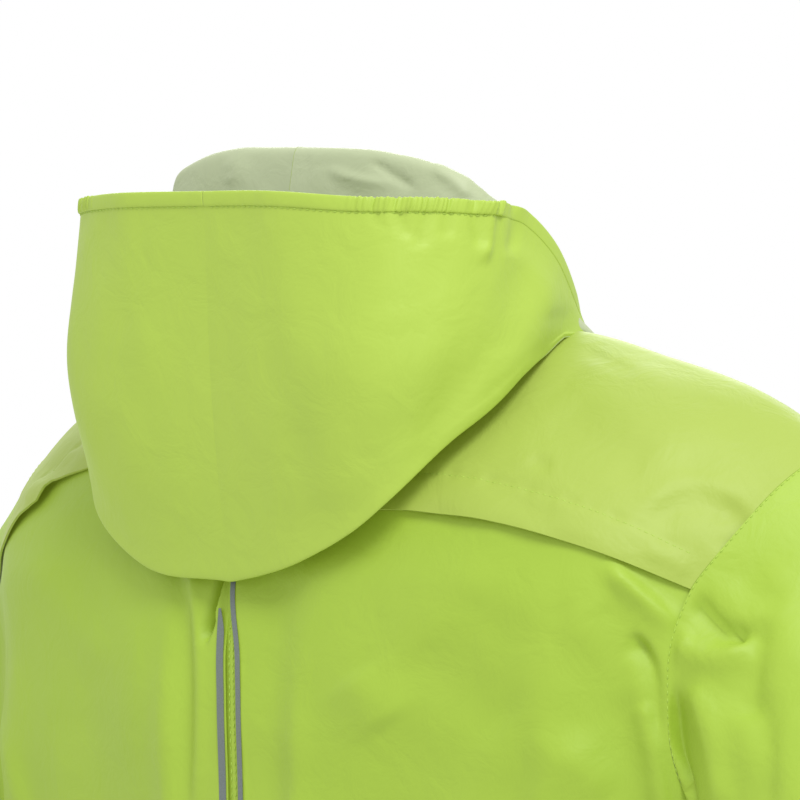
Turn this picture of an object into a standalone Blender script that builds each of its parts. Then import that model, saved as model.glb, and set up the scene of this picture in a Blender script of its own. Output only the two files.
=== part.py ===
"""Hooded rain jacket for cycling, zipped up, in the shape it has when worn.

Every cloth piece is a wall of even thickness. The body is worked out from lines that run
from the neck or shoulder seam down to the chest, and from sections below them. The hood
lies back and is worked out from lines that run from the neck seam over the roll, down
into the bag and up its outer wall to the face edge.

Tables and sizes are in centimetres, and CM turns them into metres. +X is the wearer's
left, -Y the front, and the origin is where the neck sits between the shoulder points.
"""

import math
from bisect import bisect_right
from collections import namedtuple
from functools import lru_cache

import bmesh
import bpy
from mathutils import Matrix, Vector

CM = 0.01
COLLECTION = "rain_jacket"

# Cloth and seams
WALL = 0.12
LAP_GAP = 0.05
LAP = WALL + LAP_GAP
SIDE_SEAM = 0.03
ARMHOLE_GAP = 0.09
NECK_GAP = 0.09

# Centre back pleat and its two reflective tapes
PLEAT_EDGE = 0.30
PLEAT_UNDERLAY = 1.5
CENTRE_LEAN = 0.35
TAPE_WIDTH = 0.40
TAPE_WALL = 0.10

# Back panels run up under the cape and end on a seam there
TAPE_FROM_ROW = 2
UNDER_CAPE = 0.20
CAPE_LIFT = 0.30
CAPE_RELEASE = 0.4

# Columns and rows of the body's pieces; one narrow one lies beside each seam
BODY_COLUMNS = 13
SEAM_COLUMN = 0.98
SEAM_ROW = 0.035
CAPE_ROWS = 9
BACK_TOP_ROWS = 3
BACK_TOP = 1 - (1 - SEAM_ROW) * BACK_TOP_ROWS / CAPE_ROWS
ARMHOLE_ROWS = 9
FRONT_ARMHOLE_ROWS = 10
BODY_ROWS = 11

# Front zip
ZIP_EDGE = 0.45
ZIP_TAPE_EDGE = 0.33
ZIP_TAPE_WIDTH = 1.1
CHAIN_WIDTH = 0.50
CHAIN_DEPTH = 0.16
SLIDER_WIDTH = 0.85
SLIDER_LENGTH = 1.15
SLIDER_DEPTH = 0.40
SLIDER_ROW = 1.3
SLIDER_BEVEL = 0.08
SLIDER_REACH = 0.3
PULL_REACH = 0.8
PULL_GAP = 0.07
SLIDER_GAP = 0.04
PULL_WIDTH = 0.55
PULL_LENGTH = 2.6
PULL_DEPTH = 0.16
PULL_BEVEL = 0.05

# Hood
HOOD_SEAM = 0.02
HOOD_COLUMNS = 24
CASING_WIDTH = 0.60
CASING_GAP = 0.08
CASING_DEPTH = 0.30
GATHER_COUNT = 18
GATHER_FROM = 0.22
GATHER_TO = 0.50
GATHER_DEPTH = 0.09

# Where the neck seam ends and the shoulder seam starts, across the body
NECK_ACROSS = 0.4

# A line on the body from the neck or shoulder seam down to where the sections start.
# top and low are its ends, tilt_top and tilt_low its slopes there in degrees.
BodyLine = namedtuple(
    "BodyLine", "across x_top y_top z_top x_low y_low z_low tilt_top tilt_low"
)
BACK_LINES = (
    BodyLine(0.0, 0.0, 5.6, -0.9, 0.0, 10.3, -7.1, -20, -70),
    BodyLine(0.2, 5.0, 4.7, -0.8, 4.3, 10.25, -7.1, -10, -70),
    BodyLine(0.3, 7.2, 2.6, -0.65, 6.5, 10.05, -7.15, 8, -69),
    BodyLine(0.4, 8.4, -0.6, -0.6, 8.6, 9.9, -7.2, 30, -68),
    BodyLine(0.6, 13.0, -1.6, -2.0, 12.4, 9.45, -7.6, 43, -64),
    BodyLine(0.8, 17.6, -1.5, -3.37, 16.4, 8.3, -8.6, 50, -60),
    BodyLine(1.0, 22.0, -1.2, -5.5, 19.5, 6.0, -10.1, 53, -60),
)
FRONT_LINES = (
    BodyLine(0.0, 0.0, -9.2, -8.6, 0.0, -12.0, -15.5, -52, -80),
    BodyLine(0.2, 5.4, -7.4, -6.2, 4.2, -11.9, -15.2, -52, -80),
    BodyLine(0.3, 7.7, -4.4, -3.1, 6.3, -11.7, -14.9, -44, -80),
    BodyLine(0.4, 8.4, -0.6, -0.6, 8.3, -11.4, -14.6, -30, -80),
    BodyLine(0.6, 13.0, -1.6, -2.0, 12.2, -10.2, -14.2, -38, -80),
    BodyLine(0.8, 17.6, -1.5, -3.37, 15.9, -8.2, -13.8, -44, -80),
    BodyLine(1.0, 22.0, -1.2, -5.5, 18.9, -5.6, -13.4, -52, -84),
)

# A section of the body below the lines, from its middle out to the armhole or side seam.
# round is 1 where the section turns fully at the side, and 0 where the armhole cuts it.
BodySection = namedtuple("BodySection", "z_mid y_mid x_side y_side z_side round power")
BACK_SECTIONS = (
    BodySection(-13.5, 11.6, 19.1, 6.9, -13.6, 0.0, 2.6),
    BodySection(-18.5, 11.7, 19.6, 6.0, -18.4, 0.1, 2.6),
    BodySection(-24.5, 11.5, 22.2, 0.6, -24.2, 0.8, 2.4),
    BodySection(-33.0, 11.4, 23.2, 0.2, -33.0, 1.0, 2.4),
    BodySection(-45.0, 11.5, 23.6, 0.0, -45.0, 1.0, 2.4),
    BodySection(-58.0, 12.0, 24.4, 0.0, -58.0, 1.0, 2.4),
    BodySection(-71.0, 12.5, 25.2, 0.0, -69.8, 1.0, 2.4),
)
FRONT_SECTIONS = (
    BodySection(-18.8, -12.4, 19.3, -5.0, -18.4, 0.1, 2.4),
    BodySection(-24.5, -12.5, 22.2, 0.6, -24.2, 0.8, 2.4),
    BodySection(-33.0, -12.3, 23.2, 0.2, -33.0, 1.0, 2.4),
    BodySection(-45.0, -12.0, 23.6, 0.0, -45.0, 1.0, 2.4),
    BodySection(-58.0, -12.2, 24.4, 0.0, -58.0, 1.0, 2.4),
    BodySection(-69.2, -12.6, 25.2, 0.0, -69.8, 1.0, 2.4),
)
LINE_STOPS = (0.0, 0.06, 0.25, 0.5, 0.75, 1.0)
# The lines run straight down from the shoulder at first, and spread in later
LINE_SPREAD = 1.6

# A larger fold of the body's cloth, from its top to its low end, seen from its own face.
# A ridge has a positive height and a valley a negative one.
BodyFold = namedtuple("BodyFold", "face x_top z_top x_low z_low width height")
BODY_FOLDS = (
    BodyFold(1, 17.0, -9.5, 18.6, -26.0, 0.9, -0.55),
    BodyFold(1, 14.8, -10.0, 16.4, -34.0, 1.3, 0.40),
    BodyFold(1, 8.5, -12.0, 8.0, -34.0, 2.8, -0.45),
    BodyFold(1, 3.4, -8.0, 3.2, -46.0, 0.9, 0.35),
    BodyFold(1, 15.0, -34.0, 9.0, -64.0, 1.8, 0.40),
    BodyFold(1, 20.0, -30.0, 17.0, -66.0, 1.6, -0.35),
    BodyFold(-1, 16.8, -10.0, 11.5, -30.0, 1.3, 0.40),
    BodyFold(-1, 17.5, -14.0, 14.5, -34.0, 1.0, -0.35),
    BodyFold(-1, 13.0, -34.0, 7.0, -66.0, 1.8, 0.40),
    BodyFold(-1, 19.0, -30.0, 16.0, -66.0, 1.6, -0.35),
)
UNDERARM = {1: 4.0, -1: 3.0}
HEM = {1: 1.0 + len(BACK_SECTIONS), -1: 1.0 + len(FRONT_SECTIONS)}

# A ring of the sleeve below its cap. out and deep are its half widths, tilt lifts its
# outer side, in degrees.
SleeveRing = namedtuple("SleeveRing", "along x y z out deep tilt")
SLEEVE_RINGS = (
    SleeveRing(0.34, 26.8, 0.3, -22.4, 4.8, 7.6, 30),
    SleeveRing(0.50, 28.6, 0.0, -32.0, 4.9, 7.0, 12),
    SleeveRing(0.68, 29.5, -1.2, -43.5, 4.7, 6.2, 6),
    SleeveRing(0.84, 30.3, -3.4, -55.0, 4.4, 5.4, 4),
    SleeveRing(1.00, 31.0, -6.0, -66.5, 3.9, 4.8, 2),
)
CAP_TOP_SLOPE = 44
CAP_BULGE = 1.4
CAP_LOW_SLOPE = 64
CAP_SPREAD = 0.45
CAP_FULLNESS = 0.8
CAP_ROWS = 7
SLEEVE_ROWS = 9

# A line on the hood, at its place from the centre back seam (0) to the throat (1).
# roll is where it turns over at the neck, fold the bottom of the bag, rim the face edge.
# turn is the radius of both folds, belly how far the outer wall stands out.
HoodLine = namedtuple(
    "HoodLine",
    "across x_roll y_roll z_roll x_fold y_fold z_fold x_rim y_rim z_rim turn belly",
)
HOOD_LINES = (
    HoodLine(0.00, 0.0, 7.7, 6.98, 0.0, 11.65, -10.0, 0.0, 13.05, 4.75, 0.32, 0.3),
    HoodLine(0.14, 4.0, 7.5, 6.88, 3.7, 11.65, -9.5, 5.0, 12.9, 4.75, 0.32, 0.6),
    HoodLine(0.27, 7.0, 6.9, 6.27, 6.4, 11.4, -8.4, 8.8, 11.35, 4.6, 0.32, 1.15),
    HoodLine(0.38, 8.3, 6.2, 5.62, 8.4, 10.9, -6.9, 10.15, 8.9, 4.4, 0.30, 1.1),
    HoodLine(0.48, 8.8, 4.9, 4.28, 9.6, 9.6, -5.2, 10.3, 6.6, 4.25, 0.28, 0.9),
    HoodLine(0.56, 8.9, 3.9, 3.0, 10.5, 8.0, -3.6, 9.9, 5.1, 3.95, 0.24, 0.5),
    HoodLine(0.64, 8.8, 2.6, 1.8, 10.6, 5.8, -1.7, 9.6, 3.3, 2.85, 0.18, 0.4),
    HoodLine(0.72, 8.7, 0.9, 0.4, 9.5, 2.6, 0.35, 8.85, 1.35, 1.05, 0.08, 0.1),
    HoodLine(0.76, 8.5, -1.5, -0.9, 8.6, -1.4, -0.75, 8.0, -1.0, -0.5, 0.04, 0.0),
    HoodLine(0.82, 8.0, -4.2, -2.6, 8.1, -4.3, -2.4, 7.8, -4.2, -1.8, 0.03, 0.0),
    HoodLine(0.90, 5.7, -7.9, -5.7, 5.9, -8.1, -5.3, 5.9, -8.3, -4.3, 0.03, 0.0),
    HoodLine(1.00, 0.7, -9.8, -8.1, 0.9, -10.1, -7.7, 0.9, -10.4, -6.6, 0.02, 0.0),
)
ROLL_LEAN = 0.022
NECK_SIDE = 0.72

# Places over the hood, from the neck seam (0) to the face edge (1): those that its lines
# are drawn through, and those of its rows, which lie close together at both folds
HOOD_STOPS = (0.0, 0.10, 0.20, 0.23, 0.26, 0.42, 0.58, 0.615, 0.65, 0.82, 1.0)
HOOD_ROWS = (
    (0.0, 0.10, 0.19, 0.215, 0.23, 0.245, 0.27, 0.36, 0.47, 0.56)
    + (0.59, 0.61, 0.63, 0.66, 0.72, 0.79, 0.86, 0.93, 1.0)
)

LIME = (0.42, 0.66, 0.06, 1.0)
LIME_LIGHT = (0.47, 0.68, 0.10, 1.0)
GREY_TAPE = (0.22, 0.25, 0.24, 1.0)
ZIP_BLACK = (0.03, 0.035, 0.03, 1.0)


def along(keys, values, at):
    """Value at one place of a smooth curve through values at rising keys."""
    last = len(keys) - 1
    i = min(max(bisect_right(keys, at) - 1, 0), last - 1)

    def slope(k):
        low, high = max(k - 1, 0), min(k + 1, last)
        return (values[high] - values[low]) / (keys[high] - keys[low])

    span = keys[i + 1] - keys[i]
    f = (at - keys[i]) / span
    return (
        values[i] * (2 * f**3 - 3 * f**2 + 1)
        + slope(i) * (span * (f**3 - 2 * f**2 + f))
        + values[i + 1] * (3 * f**2 - 2 * f**3)
        + slope(i + 1) * (span * (f**3 - f**2))
    )


def ease(value, low, high):
    """0 below low, 1 above high, smooth between them."""
    f = min(max((value - low) / (high - low), 0.0), 1.0)
    return f * f * (3 - 2 * f)


def column(rows, name, at):
    """One column of a table at any place across."""
    return along([r.across for r in rows], [getattr(r, name) for r in rows], at)


def hermite(start, end, start_way, end_way, f):
    """Point of the curve that leaves start along start_way and reaches end."""
    return (
        start * (2 * f**3 - 3 * f**2 + 1)
        + start_way * (f**3 - 2 * f**2 + f)
        + end * (3 * f**2 - 2 * f**3)
        + end_way * (f**3 - f**2)
    )


# ---------------------------------------------------------------- the body's form


def line_point(rows, face, across, f):
    """Point on a body line. face is +1 on the back and -1 on the front."""
    seam = BACK_LINES if across >= NECK_ACROSS else rows
    top = Vector([column(seam, c, across) for c in ("x_top", "y_top", "z_top")])
    low = Vector([column(rows, c, across) for c in ("x_low", "y_low", "z_low")])
    size = (low - top).length

    def way(name):
        tilt = math.radians(column(rows, name, across))
        return Vector((0.0, face * math.cos(tilt), math.sin(tilt))) * size

    point = hermite(top, low, way("tilt_top"), way("tilt_low"), f)
    point.x = top.x + (low.x - top.x) * f**LINE_SPREAD
    return point


def section_point(row, across):
    """Point on a body section."""
    wide = math.sin(across * math.pi / 2)
    spread = across * (1 - row.round) + wide * row.round
    cut = 1 - spread**row.power
    turned = max(cut, 0.0) ** (1 / row.power)
    depth = cut * (1 - row.round) + turned * row.round
    drop = across**3
    return Vector(
        (
            row.x_side * spread,
            row.y_side + (row.y_mid - row.y_side) * depth,
            row.z_mid + (row.z_side - row.z_mid) * drop,
        )
    )


def body_keys(sections):
    """Places down the body: the line's stops from 0 to 1, then one for each section."""
    return list(LINE_STOPS) + [2.0 + k for k in range(len(sections))]


@lru_cache(maxsize=None)
def body_column(face, across):
    """Points down one column of the body's form, from the tables."""
    back = face > 0
    rows, sections = (
        (BACK_LINES, BACK_SECTIONS) if back else (FRONT_LINES, FRONT_SECTIONS)
    )
    points = [line_point(rows, face, across, f) for f in LINE_STOPS]
    return body_keys(sections), points + [section_point(r, across) for r in sections]


def side_seam_shift(face, down):
    """Move that brings the side edge onto the seam line, straight between sections."""
    keys, points = body_column(face, 1.0)
    i = min(int(down) + len(LINE_STOPS) - 2, len(keys) - 2)
    f = (down - keys[i]) / (keys[i + 1] - keys[i])
    straight = points[i].lerp(points[i + 1], f)
    return straight.y - along(keys, [point.y for point in points], down)


def fold_height(face, point):
    """How far the garment's larger folds lift or sink the cloth at a point."""
    total = 0.0
    for fold in BODY_FOLDS:
        if fold.face != face:
            continue
        start = Vector((fold.x_top, fold.z_top))
        run = Vector((fold.x_low, fold.z_low)) - start
        away = Vector((point.x, point.z)) - start
        f = away.dot(run) / run.length_squared
        across = (away - run * f).length / fold.width
        ends = ease(f, 0.0, 0.25) * (1 - ease(f, 0.7, 1.0))
        total += fold.height * ends * math.exp(-across * across)
    return total


def body_point(face, across, down):
    """Point on the body's outer form. down is 1 at the end of the line."""
    keys, points = body_column(face, across)
    point = along(keys, points, down)
    if down > UNDERARM[face]:
        point.y += side_seam_shift(face, down) * across**12
    at_seam = 1 - across**10
    point.y += face * fold_height(face, point) * at_seam
    return point


def body_normal(face, across, down, step=0.01):
    """Outward unit normal of the body's form."""
    a0, a1 = max(across - step, 0.0), min(across + step, 1.0)
    sideways = body_point(face, a1, down) - body_point(face, a0, down)
    downwards = body_point(face, across, down + step) - body_point(
        face, across, max(down - step, 0.0)
    )
    normal = sideways.cross(downwards).normalized()
    return -normal if normal.y * face < -0.02 or normal.z < -0.9 else normal


def stops_between(marks, counts):
    """Rising places: each stretch between two marks is cut into its count."""
    stops = [marks[0]]
    for low, high, count in zip(marks, marks[1:], counts):
        stops += [low + (high - low) * (k + 1) / count for k in range(count)]
    return stops


CAPE_STOPS = stops_between((0.0, SEAM_ROW, 1.0), (1, CAPE_ROWS))
BACK_STOPS = stops_between(
    (BACK_TOP, 1.0, UNDERARM[1], HEM[1]), (BACK_TOP_ROWS, ARMHOLE_ROWS, BODY_ROWS)
)
FRONT_STOPS = stops_between(
    (0.0, SEAM_ROW, UNDERARM[-1], HEM[-1]), (1, FRONT_ARMHOLE_ROWS, BODY_ROWS)
)


SLEEVE_STOPS = stops_between((0.0, SLEEVE_RINGS[0].along, 1.0), (CAP_ROWS, SLEEVE_ROWS))


def stop_at(stops, row):
    """Place of a row, whole or between two rows."""
    i = min(int(row), len(stops) - 2)
    return stops[i] + (stops[i + 1] - stops[i]) * (row - i)


def across_at(u):
    """Place across of a column: even, with one narrow column beside the side seam."""
    column_number = u * BODY_COLUMNS
    if column_number <= BODY_COLUMNS - 1:
        return SEAM_COLUMN * column_number / (BODY_COLUMNS - 1)
    return SEAM_COLUMN + (1 - SEAM_COLUMN) * (column_number - BODY_COLUMNS + 1)


def raised(face, across, down, lift):
    """Point a little way out from (or with a negative lift, under) the body's form."""
    point = body_point(face, across, down)
    return point + body_normal(face, across, down) * lift


# ---------------------------------------------------------------- meshes


def grid(columns, rows, place, flip=False, weld=False):
    """Open sheet of cloth: a grid whose points are placed by a function of (u, v)."""
    bm = bmesh.new()
    bmesh.ops.create_grid(bm, x_segments=columns, y_segments=rows, size=1.0)
    for vert in bm.verts:
        vert.co = place((vert.co.x + 1) / 2, (vert.co.y + 1) / 2) * CM
    if weld:
        bmesh.ops.remove_doubles(bm, verts=bm.verts, dist=0.00002)
    if flip:
        bmesh.ops.reverse_faces(bm, faces=bm.faces)
    return bm


def add_object(name, bm, material):
    """Named object in the jacket's collection."""
    mesh = bpy.data.meshes.new(name)
    bm.to_mesh(mesh)
    bm.free()
    mesh.materials.append(material)
    thing = bpy.data.objects.new(name, mesh)
    bpy.data.collections[COLLECTION].objects.link(thing)
    return thing


def add_cloth(name, bm, material, wall=WALL):
    """Sheet of cloth given its wall, which goes inwards."""
    thing = add_object(name, bm, material)
    solid = thing.modifiers.new("wall", "SOLIDIFY")
    solid.thickness = wall * CM
    solid.offset = -1
    return thing


def make_material(name, colour, roughness, metallic=0.0):
    """Plain material for one piece."""
    material = bpy.data.materials.new(name)
    material.use_nodes = True
    shader = material.node_tree.nodes["Principled BSDF"]
    shader.inputs["Base Color"].default_value = colour
    shader.inputs["Roughness"].default_value = roughness
    shader.inputs["Metallic"].default_value = metallic
    material.diffuse_color = colour
    return material


def mirror_x(point, side):
    """Point on the wearer's left (+1) or right (-1)."""
    return Vector((point.x * side, point.y, point.z))


# ---------------------------------------------------------------- back, cape and fronts


def cape_lift(across, down):
    """How far the cape's free edge stands off the back; it is sewn in at the armholes."""
    return CAPE_LIFT * ease(down, 0.6, 1.0) * (1 - abs(across) ** 8)


def add_cape():
    """Back yoke: shoulder to shoulder, its lower edge free as a cape."""
    rows = len(CAPE_STOPS) - 1

    def place(u, v):
        across = across_at(abs(2 * u - 1))
        down = stop_at(CAPE_STOPS, rows * (1 - v))
        point = raised(1, across, down, cape_lift(across, down))
        point.y += SIDE_SEAM
        return mirror_x(point, 1 if u >= 0.5 else -1)

    material = make_material("yoke_cloth", LIME_LIGHT, 0.55)
    add_cloth("back_yoke", grid(2 * BODY_COLUMNS, rows, place, flip=True), material)


def back_point(across, down):
    """Point of the back panel's outer face, on the wearer's left."""
    point = raised(1, across, down, -back_recess(down))
    point.x += PLEAT_EDGE * (1 - across) ** 4
    point.y += SIDE_SEAM
    return point


def front_point(across, down):
    """Point of the front panel's outer face, on the wearer's left."""
    point = body_point(-1, across, down)
    point.x += ZIP_EDGE * (1 - across) ** 4
    point.y -= SIDE_SEAM
    return point


def centre_lean(down):
    """How far the pleat leans to the wearer's left below the cape; the hem hangs true."""
    return CENTRE_LEAN * (1 - ease(down, 1.2, 3.4))


def edge_point(panel, face, down, x, lift):
    """Point beside the centre line, level with a panel's first column, and lifted."""
    first, second = panel(0.0, down), panel(across_at(1 / BODY_COLUMNS), down)
    point = first.lerp(second, (abs(x) - first.x) / (second.x - first.x))
    point += body_normal(face, 0.0, down) * lift
    return Vector((x, point.y, point.z))


def back_recess(down):
    """How far the back lies under the cape; it comes out just below the cape's edge."""
    return UNDER_CAPE * (1 - ease(down, 1.05, 1.0 + CAPE_RELEASE))


def add_back(side, name):
    """Half of the back, from the seam under the cape to the hem."""
    rows = len(BACK_STOPS) - 1

    def place(u, v):
        down = stop_at(BACK_STOPS, rows * (1 - v))
        point = mirror_x(back_point(across_at(u), down), side)
        point.x += centre_lean(down) * (1 - across_at(u)) ** 3
        return point

    material = make_material(name + "_cloth", LIME, 0.55)
    add_cloth(name, grid(BODY_COLUMNS, rows, place, flip=side > 0), material)


def add_pleat():
    """Underlay of the centre back pleat, behind the edges of both halves."""
    rows = len(BACK_STOPS) - 1

    def place(u, v):
        x = (2 * u - 1) * PLEAT_UNDERLAY
        down = stop_at(BACK_STOPS, rows * (1 - v))
        return edge_point(back_point, 1, down, x, -LAP) + Vector((centre_lean(down), 0, 0))

    material = make_material("pleat_cloth", LIME, 0.55)
    add_cloth("back_pleat", grid(2, rows, place, flip=True), material)


def add_tape(side, name):
    """Reflective tape along one edge of the centre back pleat."""
    rows = len(BACK_STOPS) - 1 - TAPE_FROM_ROW

    def place(u, v):
        down = stop_at(BACK_STOPS, TAPE_FROM_ROW + rows * (1 - v))
        x = (PLEAT_EDGE + TAPE_WIDTH * u) * side
        point = edge_point(back_point, 1, down, x, LAP_GAP + TAPE_WALL)
        return point + Vector((centre_lean(down), 0, 0))

    material = make_material(name + "_film", GREY_TAPE, 0.35, 0.2)
    add_cloth(name, grid(1, rows, place, flip=side > 0), material, TAPE_WALL)


def add_front(side, name):
    """Half of the front, from the neck and shoulder seams to the hem."""
    rows = len(FRONT_STOPS) - 1

    def place(u, v):
        down = stop_at(FRONT_STOPS, rows * (1 - v))
        return mirror_x(front_point(across_at(u), down), side)

    material = make_material(name + "_cloth", LIME, 0.55)
    add_cloth(name, grid(BODY_COLUMNS, rows, place, flip=side < 0), material)


# ---------------------------------------------------------------- sleeves


def armhole_places():
    """Places round the armhole: face and place down, as the body's own rows have them."""
    places = [(1, down) for down in CAPE_STOPS[:-1]]
    places += [(1, down) for down in BACK_STOPS if 1.0 <= down <= UNDERARM[1]]
    front = [down for down in FRONT_STOPS if 0.0 < down < UNDERARM[-1]]
    return places + [(-1, down) for down in reversed(front)]


def armhole_turns(points, lowest):
    """Turn of each armhole point: 0 at the shoulder tip, 0.5 at the underarm."""
    steps = [(b - a).length for a, b in zip(points, points[1:] + points[:1])]
    lengths = [sum(steps[:k]) for k in range(len(points))]
    tip = max(range(len(points)), key=lambda k: points[k].z)
    back, whole = lengths[lowest] - lengths[tip], sum(steps)
    turns = []
    for k, length in enumerate(lengths):
        if tip <= k <= lowest:
            turns.append(0.5 * (length - lengths[tip]) / back)
        else:
            rest = (length - lengths[lowest]) % whole
            turns.append((0.5 + 0.5 * rest / (whole - back)) % 1.0)
    return turns


def ring_point(ring, turn):
    """Point of a sleeve ring, at the same turn as the armhole's points."""
    angle = 2 * math.pi * turn
    tilt = math.radians(ring.tilt)
    out = Vector((math.cos(tilt), 0.0, math.sin(tilt)))
    centre = Vector((ring.x, ring.y, ring.z))
    return (
        centre
        + out * (ring.out * math.cos(angle))
        + Vector((0.0, 1.0, 0.0)) * (ring.deep * math.sin(angle))
    )


def sleeve_point(seam, turn, down):
    """Point of the sleeve: the cap reaches the first ring, the rings follow."""
    first, second = SLEEVE_RINGS[0], SLEEVE_RINGS[1]
    if down >= first.along:
        keys = [ring.along for ring in SLEEVE_RINGS]
        return along(keys, [ring_point(ring, turn) for ring in SLEEVE_RINGS], down)
    start = seam + Vector((ARMHOLE_GAP, 0.0, 0.0))
    end = ring_point(first, turn)
    low = 0.5 - 0.5 * math.cos(2 * math.pi * turn)
    slope = math.radians(CAP_TOP_SLOPE + (CAP_LOW_SLOPE - CAP_TOP_SLOPE) * low)
    inward = math.sin(2 * math.pi * turn) * (CAP_BULGE * ease(low, 0.5, 0.9) - CAP_SPREAD)
    leave = Vector((math.cos(slope), inward, -math.sin(slope))).normalized()
    arrive = (ring_point(second, turn) - end).normalized()
    size = (end - start).length
    leave = leave * size * CAP_FULLNESS
    return hermite(start, end, leave, arrive * size, down / first.along)


def add_sleeve(side, name):
    """Sleeve: one tube from the armhole to the turned cuff."""
    places = armhole_places()
    seams = [body_point(face, 1.0, down) for face, down in places]
    turns = armhole_turns(seams, places.index((1, UNDERARM[1])))
    rows = len(SLEEVE_STOPS) - 1

    def place(u, v):
        k = round(u * len(places)) % len(places)
        down = SLEEVE_STOPS[round(rows * (1 - v))]
        return mirror_x(sleeve_point(seams[k], turns[k], down), side)

    material = make_material(name + "_cloth", LIME, 0.55)
    bm = grid(len(places), rows, place, flip=side < 0, weld=True)
    add_cloth(name, bm, material)


# ---------------------------------------------------------------- hood


def neck_point(across):
    """Point of the neck seam at the hood's place across."""
    if across <= NECK_SIDE:
        point = line_point(BACK_LINES, 1, NECK_ACROSS * across / NECK_SIDE, 0.0)
    else:
        rest = (1 - across) / (1 - NECK_SIDE)
        point = line_point(FRONT_LINES, -1, NECK_ACROSS * rest, 0.0)
        point.x += ZIP_EDGE * (1 - rest)
    return point + Vector((0.0, 0.0, NECK_GAP))


def hood_route(across):
    """Places that one line of the hood passes through, from the neck to the face edge."""
    value = {
        name: column(HOOD_LINES, name, across)
        for name in HoodLine._fields
        if name != "across"
    }
    neck = neck_point(across)
    roll = Vector((value["x_roll"], value["y_roll"], value["z_roll"]))
    fold = Vector((value["x_fold"], value["y_fold"], value["z_fold"]))
    rim = Vector((value["x_rim"], value["y_rim"], value["z_rim"]))
    turn = value["turn"]
    up = Vector((0.0, 0.0, 1.0))
    away = Vector((fold.x * 0.9, fold.y, 0.0)).normalized()
    wall_mid = (fold + rim) / 2 + away * value["belly"]
    return [
        neck,
        (neck + roll) / 2 - away * 0.1 * turn,
        roll - away * turn - up * turn * 1.2,
        roll,
        roll + away * turn - up * turn * 1.2,
        (roll + fold) / 2 - away * turn,
        fold - away * turn + up * turn * 1.4,
        fold,
        fold + away * turn * 0.5 + up * turn * 2.2,
        wall_mid,
        rim,
    ]


def hood_point(side, across, over):
    """Point of the hood's outer face: over runs from the neck seam to the face edge."""
    point = along(HOOD_STOPS, hood_route(across), over)
    point.x += HOOD_SEAM * (1 - across) ** 4
    on_roll = ease(over, 0.0, 0.22) * (1 - ease(over, 0.24, 0.55))
    on_roll *= 1 - ease(across, 0.4, 0.62)
    point.z += side * ROLL_LEAN * point.x * on_roll
    return mirror_x(point, side)


def add_hood(side, name):
    """Half of the hood, from the centre seam round to the throat."""

    rows = len(HOOD_ROWS) - 1

    def place(u, v):
        return hood_point(side, u, HOOD_ROWS[round(rows * (1 - v))])

    material = make_material(name + "_cloth", LIME_LIGHT, 0.5)
    add_cloth(name, grid(HOOD_COLUMNS, rows, place, flip=side < 0), material)


def casing_frame(side, across):
    """Rim point, the way up out of the cloth and the way out through it."""
    rim = hood_point(side, across, 1.0)
    rise = (rim - hood_point(side, across, 0.97)).normalized()
    ahead = hood_point(side, min(across + 0.01, 1.0), 1.0)
    behind = hood_point(side, max(across - 0.01, 0.0), 1.0)
    way = (ahead - behind).normalized()
    out = way.cross(rise).normalized() * side
    return rim, rise, out


def add_casing(side, name):
    """Turned casing along half of the face edge, gathered by its elastic at the side."""
    stops = stops_between((0.0, GATHER_FROM, GATHER_TO, 1.0), (6, 4 * GATHER_COUNT, 12))
    segments = len(stops) - 1

    def place(u, v):
        across = stops[round(u * segments)]
        rim, rise, out = casing_frame(side, across)
        gathered = ease(across, GATHER_FROM, GATHER_FROM + 0.04)
        gathered *= 1 - ease(across, GATHER_TO - 0.04, GATHER_TO)
        waves = (across - GATHER_FROM) / (GATHER_TO - GATHER_FROM) * GATHER_COUNT
        ripple = GATHER_DEPTH * gathered * math.sin(2 * math.pi * waves)
        out_at = out * (ripple * (0.6 + 0.4 * v) + (CASING_DEPTH - WALL) / 2)
        return rim + rise * (CASING_GAP + CASING_WIDTH * v) + out_at

    material = make_material(name + "_cloth", LIME, 0.5)
    bm = grid(segments, 1, place, flip=side > 0)
    add_cloth(name, bm, material, CASING_DEPTH)


# ---------------------------------------------------------------- zip


def zip_point(row, lift, x):
    """Point on the centre front at a row of the fronts, lifted out from them."""
    return edge_point(front_point, -1, stop_at(FRONT_STOPS, row), x, lift)


def add_zip_tape(side, name):
    """Woven tape of the zip, behind the edge of one front."""
    rows = len(FRONT_STOPS) - 2

    def place(u, v):
        x = (ZIP_TAPE_EDGE + ZIP_TAPE_WIDTH * u) * side
        return zip_point(1 + rows * (1 - v), -LAP, x)

    material = make_material(name + "_weave", ZIP_BLACK, 0.8)
    add_cloth(name, grid(1, rows, place, flip=side < 0), material, TAPE_WALL)


def add_zip_chain():
    """The closed chain of teeth, between both tapes."""
    rows = len(FRONT_STOPS) - 2

    def place(u, v):
        return zip_point(1 + rows * (1 - v), 0.0, (u - 0.5) * CHAIN_WIDTH)

    material = make_material("zip_chain_plastic", ZIP_BLACK, 0.45)
    add_cloth("zip_chain", grid(1, rows, place), material, CHAIN_DEPTH)


def zip_matrix(row, lift, reach):
    """Matrix that lays a block on the centre front: its Y points up the zip, Z out."""
    at = zip_point(row, 0.0, 0.0)
    up = (at - zip_point(row + reach, 0.0, 0.0)).normalized()
    right = Vector((1.0, 0.0, 0.0))
    out = right.cross(up)
    turn = Matrix((right, up, out)).transposed().to_4x4()
    return Matrix.Translation((at + out * lift) * CM) @ turn


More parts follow.
